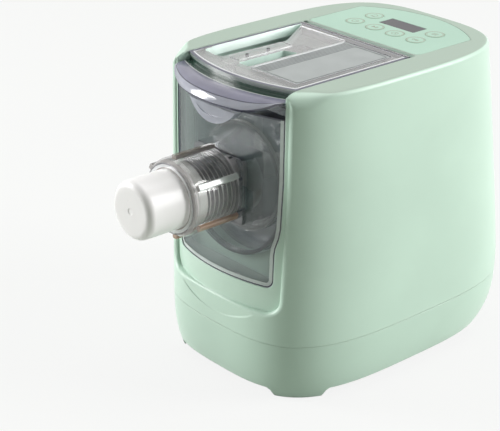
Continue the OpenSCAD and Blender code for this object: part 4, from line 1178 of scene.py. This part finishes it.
def cup_finish(face, x, y, z):
    n = face.normal
    front = y < CUP_FRONT + CUP_WALL + 0.1 and hypot(x, min(z - AXIS_Z, 0)) > CUP_R - 3.6
    edge = n.z > 0.9 or (front and (abs(n.y) < 0.5 or y < CUP_FRONT + 0.1))
    return cup_edge if edge else cup_face


paint(cup, cup_finish)
settle(cup, "cup_moulding", "cup", "smoke_clear", "mixing_cup")

# %% [markdown]
# ## Lights, floor and world
# Two tall soft boxes stand well to the sides, so that the corner between the front and the side
# stays darker than both faces and the form reads. A large weak one hangs overhead.
# %% Studio
def soft_box(name, place, aim, size, power):
    data = bpy.data.lights.new(name, "AREA")
    data.shape, data.size, data.size_y, data.energy = "RECTANGLE", size[0], size[1], power
    lamp = bpy.data.objects.new(name, data)
    scene.collection.objects.link(lamp)
    lamp.location = place
    lamp.rotation_euler = (Vector(aim) - Vector(place)).to_track_quat("-Z", "Y").to_euler()


middle = (0, -0.02, 0.15)
soft_box("box_right", (2, 2.05, 1.4), middle, (1.3, 2), 94)
soft_box("box_left", (-2.3, -1.75, 1), middle, (1, 2), 84)
soft_box("box_top", (-0.2, 0.5, 2.4), middle, (1.4, 1.4), 16)

# %% [markdown]
# The world is white where the camera sees it, and gives a soft light that is weaker from the front.
# The floor lights itself a little for the same rays, so that it stays pale without a lamp for it.
# %% World and floor
def seen_directly(nodes):
    """1 for rays from the camera, and for those that reach it by a mirror or through glass."""
    path = nodes.node("LightPath")
    total = Signal(nodes, path.outputs["Is Camera Ray"])
    for kind in ("Is Glossy Ray", "Is Transmission Ray"):
        total = total.maths("MAXIMUM", path.outputs[kind])
    return total


SKY, PAPER, FRONT, FLOOR_R, FLOOR_GLOW = (0.88, 0.97, 0.82), (0.54, 0.57, 0.52), (0.68, -0.70, 0.2), 7, 0.86
world = bpy.data.worlds.new("studio")
scene.world = world
sky = Nodes(world)
place = sky.signal("Generated", "TexCoord")
towards = sky.signal("Value", "VectorMath", {"operation": "DOT_PRODUCT"}, [place, FRONT])
glow = sky.node("Background", None, [SKY, towards.between(0, 0.95, 0.36, 0.02)])
white = sky.node("Background", None, [(1, 1, 1)])
mix = sky.node("MixShader", None, [seen_directly(sky), glow, white])
sky.node("OutputWorld", None, [mix])

only()
bpy.ops.mesh.primitive_circle_add(vertices=96, radius=FLOOR_R, fill_type="NGON")
floor = bpy.context.object
floor.name = "floor"
floor_finish = bpy.data.materials.new("pale_floor")
ground = Nodes(floor_finish)
paper = ground.node("BsdfDiffuse", None, [PAPER])
lit = ground.node("Emission")
mix = ground.node("MixShader", None, [seen_directly(ground) * FLOOR_GLOW, paper, lit])
ground.node("OutputMaterial", None, [mix])
dress(floor, floor_finish)
print("studio ready")
